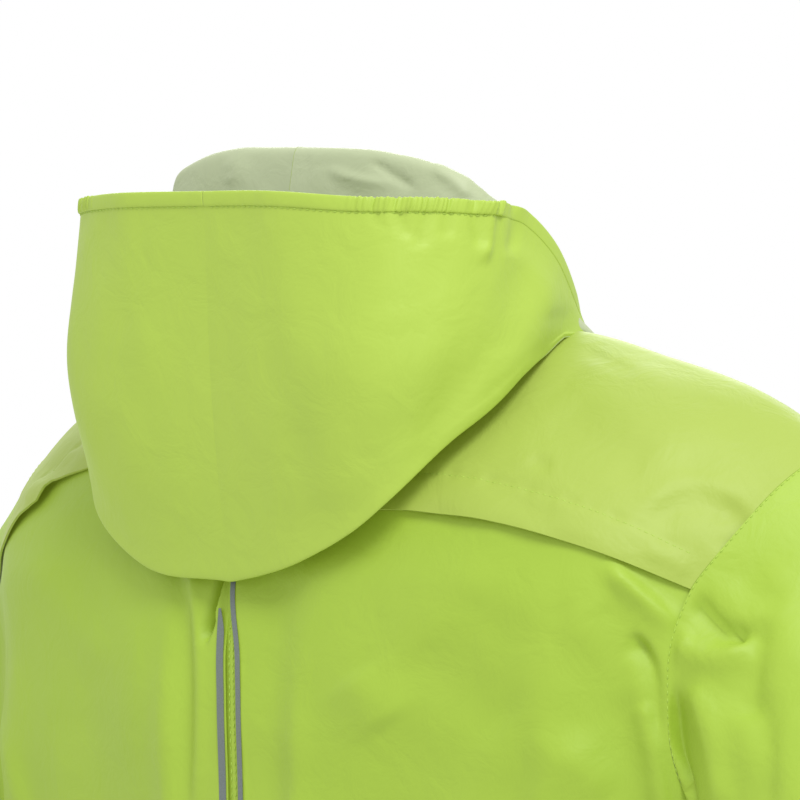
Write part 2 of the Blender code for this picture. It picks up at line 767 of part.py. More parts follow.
def block(width, length, depth, bevel, middle=(0.0, 0.0, 0.0)):
    """Block with rounded edges, its sizes in centimetres."""
    bm = bmesh.new()
    bmesh.ops.create_cube(bm, size=1.0)
    bmesh.ops.scale(bm, verts=bm.verts, vec=Vector((width, length, depth)) * CM)
    bmesh.ops.bevel(bm, geom=bm.edges, offset=bevel * CM, segments=2, affect="EDGES")
    bmesh.ops.translate(bm, verts=bm.verts, vec=Vector(middle) * CM)
    return bm


def add_slider():
    """Slider at the top of the closed zip, in front of the chain."""
    material = make_material("zip_slider_metal", ZIP_BLACK, 0.4, 0.6)
    bm = block(SLIDER_WIDTH, SLIDER_LENGTH, SLIDER_DEPTH, SLIDER_BEVEL)
    slider = add_object("zip_slider", bm, material)
    slider.matrix_world = zip_matrix(
        SLIDER_ROW, SLIDER_GAP + SLIDER_DEPTH / 2, SLIDER_REACH
    )


def add_pull():
    """Pull tab, hung on the slider and turning about X at its top."""
    material = make_material("zip_pull_metal", ZIP_BLACK, 0.4, 0.6)
    middle = (0.0, -PULL_LENGTH / 2 + PULL_DEPTH / 2, 0.0)
    bm = block(PULL_WIDTH, PULL_LENGTH, PULL_DEPTH, PULL_BEVEL, middle)
    lift = SLIDER_GAP + SLIDER_DEPTH + PULL_GAP + PULL_DEPTH / 2
    pull = add_object("zip_pull", bm, material)
    pull.matrix_world = zip_matrix(SLIDER_ROW, lift, PULL_REACH)


def build():
    """Build every piece of the jacket."""
    for thing in list(bpy.data.objects):
        bpy.data.objects.remove(thing, do_unlink=True)
    collection = bpy.data.collections.new(COLLECTION)
    bpy.context.scene.collection.children.link(collection)
    add_cape()
    add_back(1, "back_left")
    add_back(-1, "back_right")
    add_pleat()
    add_tape(1, "tape_left")
    add_tape(-1, "tape_right")
    add_front(1, "front_left")
    add_front(-1, "front_right")
    add_sleeve(1, "sleeve_left")
    add_sleeve(-1, "sleeve_right")
    add_hood(1, "hood_left")
    add_hood(-1, "hood_right")
    add_casing(1, "hood_casing_left")
    add_casing(-1, "hood_casing_right")
    add_zip_tape(1, "zip_tape_left")
    add_zip_tape(-1, "zip_tape_right")
    add_zip_chain()
    add_slider()
    add_pull()


build()
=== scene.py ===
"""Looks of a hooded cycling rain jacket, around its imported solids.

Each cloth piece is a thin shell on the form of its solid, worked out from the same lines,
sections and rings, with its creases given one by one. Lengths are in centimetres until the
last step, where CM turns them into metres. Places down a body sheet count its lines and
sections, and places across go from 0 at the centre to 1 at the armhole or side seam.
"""

import math
from collections import namedtuple

import bmesh
import bpy
import numpy as np
from mathutils import Matrix, Vector


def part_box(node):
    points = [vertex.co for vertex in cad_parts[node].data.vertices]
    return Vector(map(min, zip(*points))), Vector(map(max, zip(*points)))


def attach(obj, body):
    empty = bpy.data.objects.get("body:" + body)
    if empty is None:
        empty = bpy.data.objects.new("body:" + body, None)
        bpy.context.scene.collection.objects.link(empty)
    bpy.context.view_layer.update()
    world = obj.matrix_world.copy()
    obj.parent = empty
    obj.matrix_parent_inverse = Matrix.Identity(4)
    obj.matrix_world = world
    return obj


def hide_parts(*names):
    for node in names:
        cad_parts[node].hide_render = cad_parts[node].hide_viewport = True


CM = 0.01
TURN = 2 * math.pi
RIGHT = Vector((1.0, 0.0, 0.0))
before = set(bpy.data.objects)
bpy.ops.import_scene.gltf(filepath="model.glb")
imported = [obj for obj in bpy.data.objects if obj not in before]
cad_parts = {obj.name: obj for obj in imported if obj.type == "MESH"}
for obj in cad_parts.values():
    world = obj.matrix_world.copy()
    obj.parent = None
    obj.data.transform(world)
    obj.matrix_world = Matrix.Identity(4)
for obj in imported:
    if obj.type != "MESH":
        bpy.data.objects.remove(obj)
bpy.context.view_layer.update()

# -------- camera

CAMERA_TURN = math.radians(225)
CAMERA_AWAY = 400.0
CAMERA_LENS = 450.0
SENSOR = 36.0
IMAGE = 800
LOOK_AT = np.array((1.10, 1.10, -2.88))
TO_CAMERA = np.array((math.sin(CAMERA_TURN), -math.cos(CAMERA_TURN), 0.0))
CAMERA_RIGHT = np.array((math.cos(CAMERA_TURN), math.sin(CAMERA_TURN), 0.0))
PIXELS = IMAGE * CAMERA_LENS / SENSOR

# -------- sizes

# Walls, seams and hems; HEM_SPARE counts the points left without stitches at each end
SHELL = 0.045
HEM_SHELL = 0.09
SEAM_SINK = 0.018
SEAM_WIDTH = 0.12
HEM_DEPTH = 2.0
HEM_SPARE = 3
STITCH_PITCH = 0.30
STITCH_LENGTH = 0.20
STITCH_THICK = 0.018
STITCH_LIFT = 0.02
SEAM_STITCH_LIFT = 0.015

# How far apart and how high the soft unevenness of each cloth is
YOKE_RUMPLE = (3.0, 0.02)
BODY_RUMPLE = (5.0, 0.05)
SLEEVE_RUMPLE = (5.0, 0.04)
HOOD_RUMPLE = (4.0, 0.035)
ROLL_RUMPLE = (2.5, 0.02)
RUMPLE_WAVES = 10

# Cape over the back, with the row of stitches above its edge. Waves are given by their
# height, their radians to the centimetre and where they start.
UNDER_CAPE = 0.14
CAPE_LIFT = 0.10
CAPE_LIFTS = (0.6, 1.0)
CAPE_RELEASE = (1.05, 1.4)
CAPE_HEM_ROW = 0.865
CAPE_HEM_TURN = 0.02
CAPE_HEM_STEP = 0.035
CAPE_ROW_SINK = 0.05
CAPE_ROW_WIDTH = 0.012
CAPE_PUCKERS = ((0.5, TURN / 0.9, 0.0), (0.4, TURN / 1.7, 1.0))
CAPE_EDGE = (0.93, 1.0)
CAPE_EDGE_WAVES = ((0.05, 0.9, 0.6), (0.03, 2.1, 0.0))
# Its edge is drawn up in a kink on the wearer's left
CAPE_RISE_STOPS = (0.25, 0.50, 0.665, 0.69, 0.75, 0.82, 1.0)
CAPE_RISES = (0.0, 0.165, 0.155, 0.10, 0.08, 0.02, 0.0)

# Where creases start to show beside an edge, across and down
BACK_FREE = (0.0, 0.03)
FRONT_FREE = (0.0, 0.05)
NECK_FREE = (0.0, 0.12)

# Edges at the centre line: how fast their shift fades across, and how many points across
# are near enough to find what lies level with them
EDGE_FADE = 4
NEAR_CENTRE = 24

# Centre back pleat and the tapes on its left (1) and right (-1) edge
BACK_TOP = 0.678
PLEAT_EDGE = 0.30
PLEAT_UNDERLAY = 1.2
PLEAT_MIDDLE = 12
PLEAT_HIDDEN = 14
PLEAT_OPEN = 0.35
PLEAT_LAP = 0.12
PLEAT_TUCK = 0.45
PLEAT_RIDGE = 0.07
PLEAT_RIDGE_WIDTH = 0.16
PLEAT_CLOSING = 0.55
CLOSING_ENDS = (1.40, 1.95)
CLOSING_WIDTH = 0.05
CLOSING_SINK = 0.35
LEAN_STOPS = (0.0, 1.0, 1.5, 1.85, 2.2, 2.84, 4.0, 8.0)
LEANS = (0.36, 0.36, 0.33, 0.13, -0.12, -0.25, -0.25, 0.0)
TAPE_FROM = {1: 1.60, -1: 1.0}
TAPE_WIDTHS = {1: 0.38, -1: 0.26}
TAPE_INSET = {1: 0.08, -1: 0.0}
TAPE_POINT = 0.16
TAPE_CUT = 0.9
TAPE_LIFT = 0.03
TAPE_SHELL = 0.02

# Front zip
ZIP_EDGE = 0.45
ZIP_TAPE_EDGE = 0.20
ZIP_TAPE_WIDTH = 1.25
ZIP_TAPE_LIFT = 0.09
ZIP_STITCHES = 0.035
ZIP_STEPS = 600
TEETH_FROM = 0.12
TOOTH_PITCH = 0.25
TOOTH_ASIDE = 0.09
TOOTH_SIZE = (0.34, 0.085, 0.20)
TOOTH_BEVEL = 0.02

# Sleeve: its underarm, its cap's slopes in degrees, and how the cap leaves the seam
UNDERARM = {1: 4.0, -1: 3.0}
ARMHOLE_STEPS = {1: 300, -1: 240}
CAP_TOP_SLOPE = 44
CAP_LOW_SLOPE = 64
CAP_BULGE = 1.4
CAP_LOW = (0.5, 0.9)
CAP_INWARD = 0.45
CAP_LEAVE = 0.8
SEAM_ROW = 0.45
SLEEVE_FREE = (0.0, 0.022)
# Its folds are milder on the side towards the body, and start below the photo's edge
# where the photo shows others above
INNER_SHARE = 0.25
OUTWARDS = (-0.6, 0.5)
BELOW_PHOTO = (28.0, 34.0)

# Hood. Spans run over it from the neck (0) by the roll and the low fold to the face edge
# (1), or, for leans, dips and what is free, across from the centre seam.
NECK_ACROSS = 0.4
NECK_SIDE = 0.72
NECK_GAP = 0.06
HOOD_AWAY = (0.9, 1.0, 0.0)
HOOD_FREE = (0.0, 0.12)
ON_ROLL = (0.0, 0.22, 0.24, 0.55)
ROLL_SHOWS = (0.16, 0.2, 0.36, 0.44)
ROLL_PROUD = 0.075
ROLL_DROP = 1.2
ROLL_LEAN = 0.022
ROLL_LEANS = (0.4, 0.62)
ON_FOLD = (0.30, 0.58, 0.66, 0.95)
FOLD_RISE = 1.4
FOLD_LEAN = 0.33
FOLD_LEANS = (0.0, 0.2, 0.5, 0.62)
FOLD_END = 0.70
FOLD_END_WIDTH = 0.04
FOLD_END_DROP = 0.9
WALL_RISE = 2.2
WALL_SHOWS = (0.64, 0.70)
UP_WALL = (0.66, 1.0)
ON_WALL = 0.85
RIM_DIP = 0.22
RIM_DIP_AT = 0.22
RIM_DIP_WIDTH = 0.10
HOOD_SEAM_SINK = 0.7 * SEAM_SINK
HOOD_SEAM_WIDTH = 0.005

# Casing of the face edge: where it turns in behind the hood's edge, and where its elastic
# gathers it, by places across the hood
CASING_ACROSS = 440
CASING_WIDTH = 0.60
CASING_GAP = -0.06
CASING_DEPTH = 0.16
CASING_SQUARE = 0.65
CASING_ROUND = 16
CASING_SLIM = 0.7
CASING_SLIMS = 0.03
CASING_ROW = 0.10
CASING_TURN = 0.455
CASING_KNOB = 0.09
CASING_KNOB_WIDTH = 0.008
GATHER_RUNS = ((0.20, 0.375), (0.40, 0.46))
GATHER_END = 0.02
GATHERS = ((0.035, TURN / 0.22, 0.0), (0.02, 0.57 * TURN / 0.22, 1.0))

# Points across and down each piece; marks, then the steps between them, where uneven
BODY_ACROSS = 110
CAPE_DOWN = 84
BODY_DOWN = 170
SLEEVE_ROUND = 130
HOOD_ACROSS = 100
HOOD_PLACES = ((0.0, 0.18, 0.28, 0.57, 0.66, 1.0), (26, 44, 31, 40, 79))
BACK_PLACES_ACROSS = ((0.0, 0.12, 0.84, 1.0), (36, 58, 24))
BACK_PLACES_DOWN = ((0.78, 3.2, 8.0), (86, 88))
SLEEVE_PLACES_DOWN = ((0.0, 0.34, 1.0), (100, 72))

# -------- lines and sections


def table(names, *rows):
    """Rows of numbers as rows with names."""
    row = namedtuple("Row", names)
    return tuple(row(*map(float, values)) for values in rows)


# Lines on the body from the neck or shoulder seam down to where the sections start
LINE_STOPS = (0.0, 0.06, 0.25, 0.5, 0.75, 1.0)
LINE_SPREAD = 1.6
LINE_NAMES = "across x_top y_top z_top x_low y_low z_low tilt_top tilt_low"
# Back and front meet at the shoulder seam, and further down at the side seam.
SHOULDER = ((8.4, -0.6, -0.6), (13, -1.6, -2), (17.6, -1.5, -3.37), (22, -1.2, -5.5))
BACK_LINES = table(
    LINE_NAMES,
    (0.0, 0, 5.6, -0.9, 0, 10.3, -7.1, -20, -70),
    (0.2, 5, 4.7, -0.8, 4.3, 10.25, -7.1, -10, -70),
    (0.3, 7.2, 2.6, -0.65, 6.5, 10.05, -7.15, 8, -69),
    (0.4, *SHOULDER[0], 8.6, 9.9, -7.2, 30, -68),
    (0.6, *SHOULDER[1], 12.4, 9.45, -7.6, 43, -64),
    (0.8, *SHOULDER[2], 16.4, 8.3, -8.6, 50, -60),
    (1.0, *SHOULDER[3], 19.5, 6, -10.1, 53, -60),
)
FRONT_LINES = table(
    LINE_NAMES,
    (0.0, 0, -9.2, -8.6, 0, -12, -15.5, -52, -80),
    (0.2, 5.4, -7.4, -6.2, 4.2, -11.9, -15.2, -52, -80),
    (0.3, 7.7, -4.4, -3.1, 6.3, -11.7, -14.9, -44, -80),
    (0.4, *SHOULDER[0], 8.3, -11.4, -14.6, -30, -80),
    (0.6, *SHOULDER[1], 12.2, -10.2, -14.2, -38, -80),
    (0.8, *SHOULDER[2], 15.9, -8.2, -13.8, -44, -80),
    (1.0, *SHOULDER[3], 18.9, -5.6, -13.4, -52, -84),
)

# Sections of the body below the lines, from the middle out to the armhole or side seam
SECTION_NAMES = "z_mid y_mid x_side y_side z_side round power"
SIDE_SEAM = (
    (22.2, 0.6, -24.2, 0.8, 2.4),
    (23.2, 0.2, -33, 1, 2.4),
    (23.6, 0, -45, 1, 2.4),
    (24.4, 0, -58, 1, 2.4),
    (25.2, 0, -69.8, 1, 2.4),
)
BACK_SECTIONS = table(
    SECTION_NAMES,
    (-13.5, 11.6, 19.1, 6.9, -13.6, 0, 2.6),
    (-18.5, 11.7, 19.6, 6, -18.4, 0.1, 2.6),
    (-24.5, 11.5, *SIDE_SEAM[0]),
    (-33, 11.4, *SIDE_SEAM[1]),
    (-45, 11.5, *SIDE_SEAM[2]),
    (-58, 12, *SIDE_SEAM[3]),
    (-71, 12.5, *SIDE_SEAM[4]),
)
FRONT_SECTIONS = table(
    SECTION_NAMES,
    (-18.8, -12.4, 19.3, -5, -18.4, 0.1, 2.4),
    (-24.5, -12.5, *SIDE_SEAM[0]),
    (-33, -12.3, *SIDE_SEAM[1]),
    (-45, -12, *SIDE_SEAM[2]),
    (-58, -12.2, *SIDE_SEAM[3]),
    (-69.2, -12.6, *SIDE_SEAM[4]),
)
HEM = {1: 1.0 + len(BACK_SECTIONS), -1: 1.0 + len(FRONT_SECTIONS)}

# Larger folds of the back (face 1) and the front (-1): ridges have a positive height and
# valleys a negative one
FOLD_SPAN = (0.0, 0.25, 0.7, 1.0)
BODY_FOLDS = table(
    "face x_top z_top x_low z_low width height",
    (1, 17, -9.5, 18.6, -26, 0.9, -0.55),
    (1, 14.8, -10, 16.4, -34, 1.3, 0.4),
    (1, 8.5, -12, 8, -34, 2.8, -0.45),
    (1, 3.4, -8, 3.2, -46, 0.9, 0.35),
    (1, 15, -34, 9, -64, 1.8, 0.4),
    (1, 20, -30, 17, -66, 1.6, -0.35),
    (-1, 16.8, -10, 11.5, -30, 1.3, 0.4),
    (-1, 17.5, -14, 14.5, -34, 1, -0.35),
    (-1, 13, -34, 7, -66, 1.8, 0.4),
    (-1, 19, -30, 16, -66, 1.6, -0.35),
)

# Rings of the sleeve below its cap, by how far along it they lie
SLEEVE_RINGS = table(
    "along x y z out deep tilt",
    (0.34, 26.8, 0.3, -22.4, 4.8, 7.6, 30),
    (0.50, 28.6, 0, -32, 4.9, 7, 12),
    (0.68, 29.5, -1.2, -43.5, 4.7, 6.2, 6),
    (0.84, 30.3, -3.4, -55, 4.4, 5.4, 4),
    (1.00, 31, -6, -66.5, 3.9, 4.8, 2),
)

# Lines on the hood, at places from the centre back seam (0) to the throat (1)
HOOD_LINES = table(
    "across x_roll y_roll z_roll x_fold y_fold z_fold x_rim y_rim z_rim turn belly",
    (0.00, 0, 7.7, 6.98, 0, 11.65, -10, 0, 13.05, 4.75, 0.32, 0.3),
    (0.14, 4, 7.5, 6.88, 3.7, 11.65, -9.5, 5, 12.9, 4.75, 0.32, 0.6),
    (0.27, 7, 6.9, 6.27, 6.4, 11.4, -8.4, 8.8, 11.35, 4.6, 0.32, 1.15),
    (0.38, 8.3, 6.2, 5.62, 8.4, 10.9, -6.9, 10.15, 8.9, 4.4, 0.3, 1.1),
    (0.48, 8.8, 4.9, 4.28, 9.6, 9.6, -5.2, 10.3, 6.6, 4.25, 0.28, 0.9),
    (0.56, 8.9, 3.9, 3, 10.5, 8, -3.6, 9.9, 5.1, 3.95, 0.24, 0.5),
    (0.64, 8.8, 2.6, 1.8, 10.6, 5.8, -1.7, 9.6, 3.3, 2.85, 0.18, 0.4),
    (0.72, 8.7, 0.9, 0.15, 9.5, 2.6, 0.25, 8.85, 1.35, 1.05, 0.08, 0.1),
    (0.76, 8.5, -1.5, -1.25, 8.6, -1.4, -1.15, 8, -1, -0.85, 0.04, 0),
    (0.82, 8, -4.2, -2.6, 8.1, -4.3, -2.4, 7.8, -4.2, -1.8, 0.03, 0),
    (0.90, 5.7, -7.9, -5.7, 5.9, -8.1, -5.3, 5.9, -8.3, -4.3, 0.03, 0),
    (1.00, 0.7, -9.8, -8.1, 0.9, -10.1, -7.7, 0.9, -10.4, -6.6, 0.02, 0),
)
HOOD_STOPS = (0.0, 0.10, 0.20, 0.23, 0.26, 0.42, 0.58, 0.615, 0.65, 0.82, 1.0)

# -------- curves


def hermite(start, end, start_way, end_way, f):
    """Points of the curves that leave start along start_way and reach end along end_way."""
    return (
        start * (2 * f**3 - 3 * f**2 + 1)
        + start_way * (f**3 - 2 * f**2 + f)
        + end * (3 * f**2 - 2 * f**3)
        + end_way * (f**3 - f**2)
    )


def along(keys, values, at):
    """Values at places of a smooth curve through values at rising keys."""
    keys, values, at = np.array(keys, float), np.array(values, float), np.array(at)
    last = len(keys) - 1
    low = np.maximum(np.arange(last + 1) - 1, 0)
    high = np.minimum(np.arange(last + 1) + 1, last)
    more = (1,) * (values.ndim - 1)
    slopes = (values[high] - values[low]) / (keys[high] - keys[low]).reshape((-1,) + more)
    i = np.clip(np.searchsorted(keys, at, side="right") - 1, 0, last - 1)
    step = (keys[i + 1] - keys[i]).reshape(at.shape + more)
    f = (at - keys[i]).reshape(at.shape + more) / step
    return hermite(values[i], values[i + 1], slopes[i] * step, slopes[i + 1] * step, f)


def ease(value, low, high):
    """0 below low, 1 above high, smooth between them."""
    f = np.clip((np.asarray(value, float) - low) / (high - low), 0.0, 1.0)
    return f * f * (3 - 2 * f)


def span(value, start, full, fading, end):
    """1 from full to fading, 0 before start and after end, smooth between them."""
    return ease(value, start, full) * (1 - ease(value, fading, end))


def bell(away, width):
    """1 in the middle, falling off smoothly over a width on either side."""
    return np.exp(-((away / width) ** 2))


def waves(at, rows):
    """Sum of waves, each a row of its height, how often it comes and where it starts."""
    return sum(height * np.sin(at * often + start) for height, often, start in rows)


def summed(steps):
    """Places from 0 on, each a step beyond the last."""
    return np.concatenate(([0.0], np.cumsum(steps)))


def run_along(path):
    """How far along a path each of its points lies."""
    return summed(np.linalg.norm(np.diff(path, axis=0), axis=1))


def between(place, keys, path):
    """Point of a path, or points, at a place among the rising keys of its points."""
    return np.stack([np.interp(place, keys, path[:, k]) for k in range(3)], axis=-1)


def columns(rows, names, at):
    """Columns of a table at places across, side by side."""
    keys = [row.across for row in rows]
    return along(keys, [[getattr(row, n) for n in names] for row in rows], at)


def places(marks, counts):
    """Places from the first mark to the last, with a count of steps between marks."""
    parts = [np.linspace(a, b, n + 1)[1:] for a, b, n in zip(marks, marks[1:], counts)]
    return np.concatenate([np.array(marks[:1], float)] + parts)


def unit(vectors):
    """The vectors at length one."""
    size = np.linalg.norm(vectors, axis=-1, keepdims=True)
    return vectors / np.maximum(size, 1e-9)


# -------- the body's form


def line_points(rows, face, across):
    """Points down the body's lines. face is +1 on the back and -1 on the front."""
    names = ("x_top", "y_top", "z_top")
    shoulder = (across >= NECK_ACROSS)[:, None]
    top = np.where(shoulder, columns(BACK_LINES, names, across), columns(rows, names, across))
    low = columns(rows, ("x_low", "y_low", "z_low"), across)
    size = np.linalg.norm(low - top, axis=1)

    def way(name):
        tilt = np.radians(columns(rows, (name,), across)[:, 0])
        flat = np.zeros_like(tilt)
        return np.stack((flat, face * np.cos(tilt) * size, np.sin(tilt) * size), axis=1)

    stops = np.array(LINE_STOPS)[:, None]
    points = hermite(top, low, way("tilt_top"), way("tilt_low"), stops[..., None])
    points[:, :, 0] = top[:, 0] + (low[:, 0] - top[:, 0]) * stops**LINE_SPREAD
    return points


def section_points(row, across):
    """Points along a section of the body."""
    wide = np.sin(across * math.pi / 2)
    spread = across * (1 - row.round) + wide * row.round
    cut = 1 - spread**row.power
    turned = np.maximum(cut, 0.0) ** (1 / row.power)
    depth = cut * (1 - row.round) + turned * row.round
    x = row.x_side * spread
    y = row.y_side + (row.y_mid - row.y_side) * depth
    z = row.z_mid + (row.z_side - row.z_mid) * across**3
    return np.stack((x, y, z), axis=1)


def fold_heights(face, points):
    """How far the garment's larger folds lift or sink the cloth."""
    flat = points[..., (0, 2)]
    total = np.zeros(flat.shape[:-1])
    for fold in BODY_FOLDS:
        if fold.face != face:
            continue
        start = np.array((fold.x_top, fold.z_top))
        run = np.array((fold.x_low, fold.z_low)) - start
        away = flat - start
        f = away @ run / (run @ run)
        beside = np.linalg.norm(away - f[..., None] * run, axis=-1)
        total += fold.height * span(f, *FOLD_SPAN) * bell(beside, fold.width)
    return total


def body_form(face, across, down):
    """Points of the body's outer form: rows go down, columns across."""
    rows = BACK_LINES if face > 0 else FRONT_LINES
    sections = BACK_SECTIONS if face > 0 else FRONT_SECTIONS
    keys = list(LINE_STOPS) + [2.0 + k for k in range(len(sections))]

    def stacked(at):
        lines = line_points(rows, face, at)
        return np.concatenate([lines] + [section_points(r, at)[None] for r in sections])

    points = along(keys, stacked(across), down)
    # The side seam takes straight steps, so that back and front meet along it.
    edge = stacked(np.ones(1))[:, 0, 1]
    shift = np.interp(down, keys, edge) - along(keys, edge, down)
    shift = np.where(down > UNDERARM[face], shift, 0.0)
    points[:, :, 1] += shift[:, None] * across**12
    points[:, :, 1] += face * fold_heights(face, points) * (1 - across**10)
    return points


def normals(points, closed=False):
    """Unit normals of a sheet of points: across, then down."""
    if closed:
        sideways = np.roll(points, -1, axis=1) - np.roll(points, 1, axis=1)
    else:
        sideways = np.gradient(points, axis=1)
    downwards = np.gradient(points, axis=0)
    return unit(np.cross(sideways, downwards))


# -------- creases

CREASE_STEPS = 14
CREASE_SPAN = (0.0, 0.22, 0.78, 1.0)
# The photo's creases fade out where the cloth turns away from the camera
FACING_CAMERA = (0.02, 0.25)


def crease_rows(*rows):
    """Creases, each by three points on its middle line, its widths and its lift.

    Widths and lift are in centimetres. near is the width to the left of a line as it runs
    in the photo, and to the right on a plane whose second axis points up; far is the width
    on its other side. A ridge has a positive lift and a trough a negative one.
    """
    return table("x1 y1 x2 y2 x3 y3 near far lift", *rows)


def pixels(points):
    """Where points show in the photo."""
    away = points - LOOK_AT
    depth = CAMERA_AWAY - away @ TO_CAMERA
    x = IMAGE / 2 + PIXELS * (away @ CAMERA_RIGHT) / depth
    y = IMAGE / 2 - PIXELS * away[..., 2] / depth
    return np.stack((x, y), axis=-1)


def crease_lift(crease, flat, scale):
    """How far one crease moves points, by their places on a plane."""
    a, b, c = (np.array(crease[k : k + 2], float) for k in (0, 2, 4))
    f = np.linspace(0, 1, CREASE_STEPS + 1)[:, None]
    bend = 2 * b - (a + c) / 2
    path = a * (1 - f) ** 2 + 2 * bend * f * (1 - f) + c * f * f
    best = np.full(flat.shape[:-1], 1e9)
    signed, place = np.zeros_like(best), np.zeros_like(best)
    for k in range(CREASE_STEPS):
        start, run = path[k], path[k + 1] - path[k]
        away = flat - start
        g = np.clip(away @ run / (run @ run), 0, 1)
        off = away - g[..., None] * run
        size = np.linalg.norm(off, axis=-1)
        side = np.sign(run[0] * away[..., 1] - run[1] * away[..., 0])
        closer = size < best
        best = np.where(closer, size, best)
        signed = np.where(closer, size * side, signed)
        place = np.where(closer, (k + g) / CREASE_STEPS, place)
    wide = np.where(signed < 0, crease.near, crease.far) * scale
    return crease.lift * span(place, *CREASE_SPAN) * bell(best, wide)


def photo_creases(points, out, creases, facing=True):
    """How creases given in the photo's pixels move points along their normals."""
    flat = pixels(points)
    total = sum(crease_lift(c, flat, PIXELS / CAMERA_AWAY) for c in creases)
    if facing:
        total = total * ease(out @ TO_CAMERA, *FACING_CAMERA)
    return out * total[..., None]


def plane_creases(points, out, creases, plane=(0, 2)):
    """How creases given in centimetres on a plane move points along their normals."""
    flat = points[..., list(plane)]
    return out * sum(crease_lift(c, flat, 1.0) for c in creases)[..., None]


def rumple(points, size, height, seed):
    """Small soft unevenness of light cloth, from a few crossed waves."""
    chance = np.random.default_rng(seed)
    total = np.zeros(points.shape[:-1])
    for _ in range(RUMPLE_WAVES):
        way = chance.normal(size=3)
        way *= TURN / (size * np.linalg.norm(way) * chance.uniform(0.6, 1.6))
        total += np.sin(points @ way + chance.uniform(0, TURN))
    return total[..., None] * height / 3


# -------- meshes and nodes


def linear(hex_colour):
    """Linear colour of an sRGB hex value."""
    parts = [int(hex_colour[k : k + 2], 16) / 255 for k in (1, 3, 5)]
    parts = [p / 12.92 if p <= 0.04045 else ((p + 0.055) / 1.055) ** 2.4 for p in parts]
    return (*parts, 1.0)


def wire(tree, made, **links):
    """Give sockets of a node, by name or number, their values or links."""
    for name, value in links.items():
        socket = made.inputs[int(name[1:]) if name[1:].isdigit() else name.replace("_", " ")]
        if isinstance(value, bpy.types.NodeSocket):
            tree.links.new(value, socket)
        else:
            socket.default_value = value
    return made


def node(tree, kind, settings=None, **links):
    """Add a node with its settings, its sockets' values and its links."""
    made = tree.nodes.new(kind)
    for name, value in (settings or {}).items():
        setattr(made, name, value)
    return wire(tree, made, **links)


def in_scene(name, data):
    """Object with its data, linked to the scene."""
    made = bpy.data.objects.new(name, data)
    bpy.context.scene.collection.objects.link(made)
    return made


def mesh_object(name, bm, materials):
    """Object with a finished mesh and its materials."""
    mesh = bpy.data.meshes.new(name)
    bm.to_mesh(mesh)
    bm.free()
    for material in materials:
        mesh.materials.append(material)
    return in_scene(name, mesh)


def add_piece(name, bm, materials, body="jacket"):
    """Finished mesh as a piece that rides on a body."""
    piece = mesh_object(name, bm, materials)
    piece.data.shade_smooth()
    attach(piece, body)
    return piece


def cloth_sheet(name, points, materials, out, weld=False, close=False):
    """Sheet of cloth from a grid of points, with its own UV map in centimetres."""
    down, across = points.shape[:2]
    bm = bmesh.new()
    bmesh.ops.create_grid(bm, x_segments=across - 1, y_segments=down - 1, size=1.0)
    uv = bm.loops.layers.uv.new("cloth")
    u_at = summed(np.linalg.norm(np.diff(points, axis=1), axis=2).mean(axis=0))
    v_at = summed(np.linalg.norm(np.diff(points, axis=0), axis=2).mean(axis=1))
    for vert in bm.verts:
        i = round((vert.co.x + 1) / 2 * (across - 1))
        k = round((1 - vert.co.y) / 2 * (down - 1))
        vert.co = points[k, i] * CM
        for loop in vert.link_loops:
            loop[uv].uv = (u_at[i], v_at[k])
    if weld:
        bmesh.ops.remove_doubles(bm, verts=bm.verts, dist=0.00002)
    if close:
        rims = [edge for edge in bm.edges if edge.is_boundary]
        bmesh.ops.holes_fill(bm, edges=rims, sides=0)
    if (normals(points) * out).sum() > 0:
        bmesh.ops.reverse_faces(bm, faces=bm.faces)
    for edge in bm.edges:
        edge.smooth = not edge.is_boundary
    return add_piece(name, bm, materials)


def thicken(piece, wall, inner_material):
    """Give a sheet its wall, inwards; its inner face may have a finish of its own."""
    solid = piece.modifiers.new("wall", "SOLIDIFY")
    solid.thickness = wall * CM
    solid.offset = -1
    solid.material_offset = inner_material


def sheet_piece(name, points, out, materials, solid, wall=SHELL, weld=False):
    """Thickened sheet in place of a solid; the last of its materials is its inner face."""
    piece = cloth_sheet(name, points, materials, out, weld)
    thicken(piece, wall, len(materials) - 1)
    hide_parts(solid)
    return piece


# -------- finishes


def finish(name):
    """New material: itself, its tree, its shader and the object's own coordinates."""
    material = bpy.data.materials.new(name)
    material.use_nodes = True
    tree = material.node_tree
    place = node(tree, "ShaderNodeTexCoord").outputs["Object"]
    return material, tree, tree.nodes["Principled BSDF"], place


def noise(tree, place, scale, detail, **more):
    """Noise pattern in the object's own coordinates, which are in metres."""
    made = node(tree, "ShaderNodeTexNoise", Vector=place, Scale=scale, Detail=detail, **more)
    return made.outputs["Fac"]


def bump(tree, height, strength, distance, **more):
    """Relief that a pattern gives the surface."""
    values = {"Height": height, "Strength": strength, "Distance": distance}
    return node(tree, "ShaderNodeBump", **values, **more).outputs[0]


def two_tone(tree, pattern, darker, colour):
    """Colour that a pattern blends from two close tones."""
    tones = {"_6": linear(darker), "_7": linear(colour)}
    return node(tree, "ShaderNodeMix", {"data_type": "RGBA"}, _0=pattern, **tones).outputs[2]


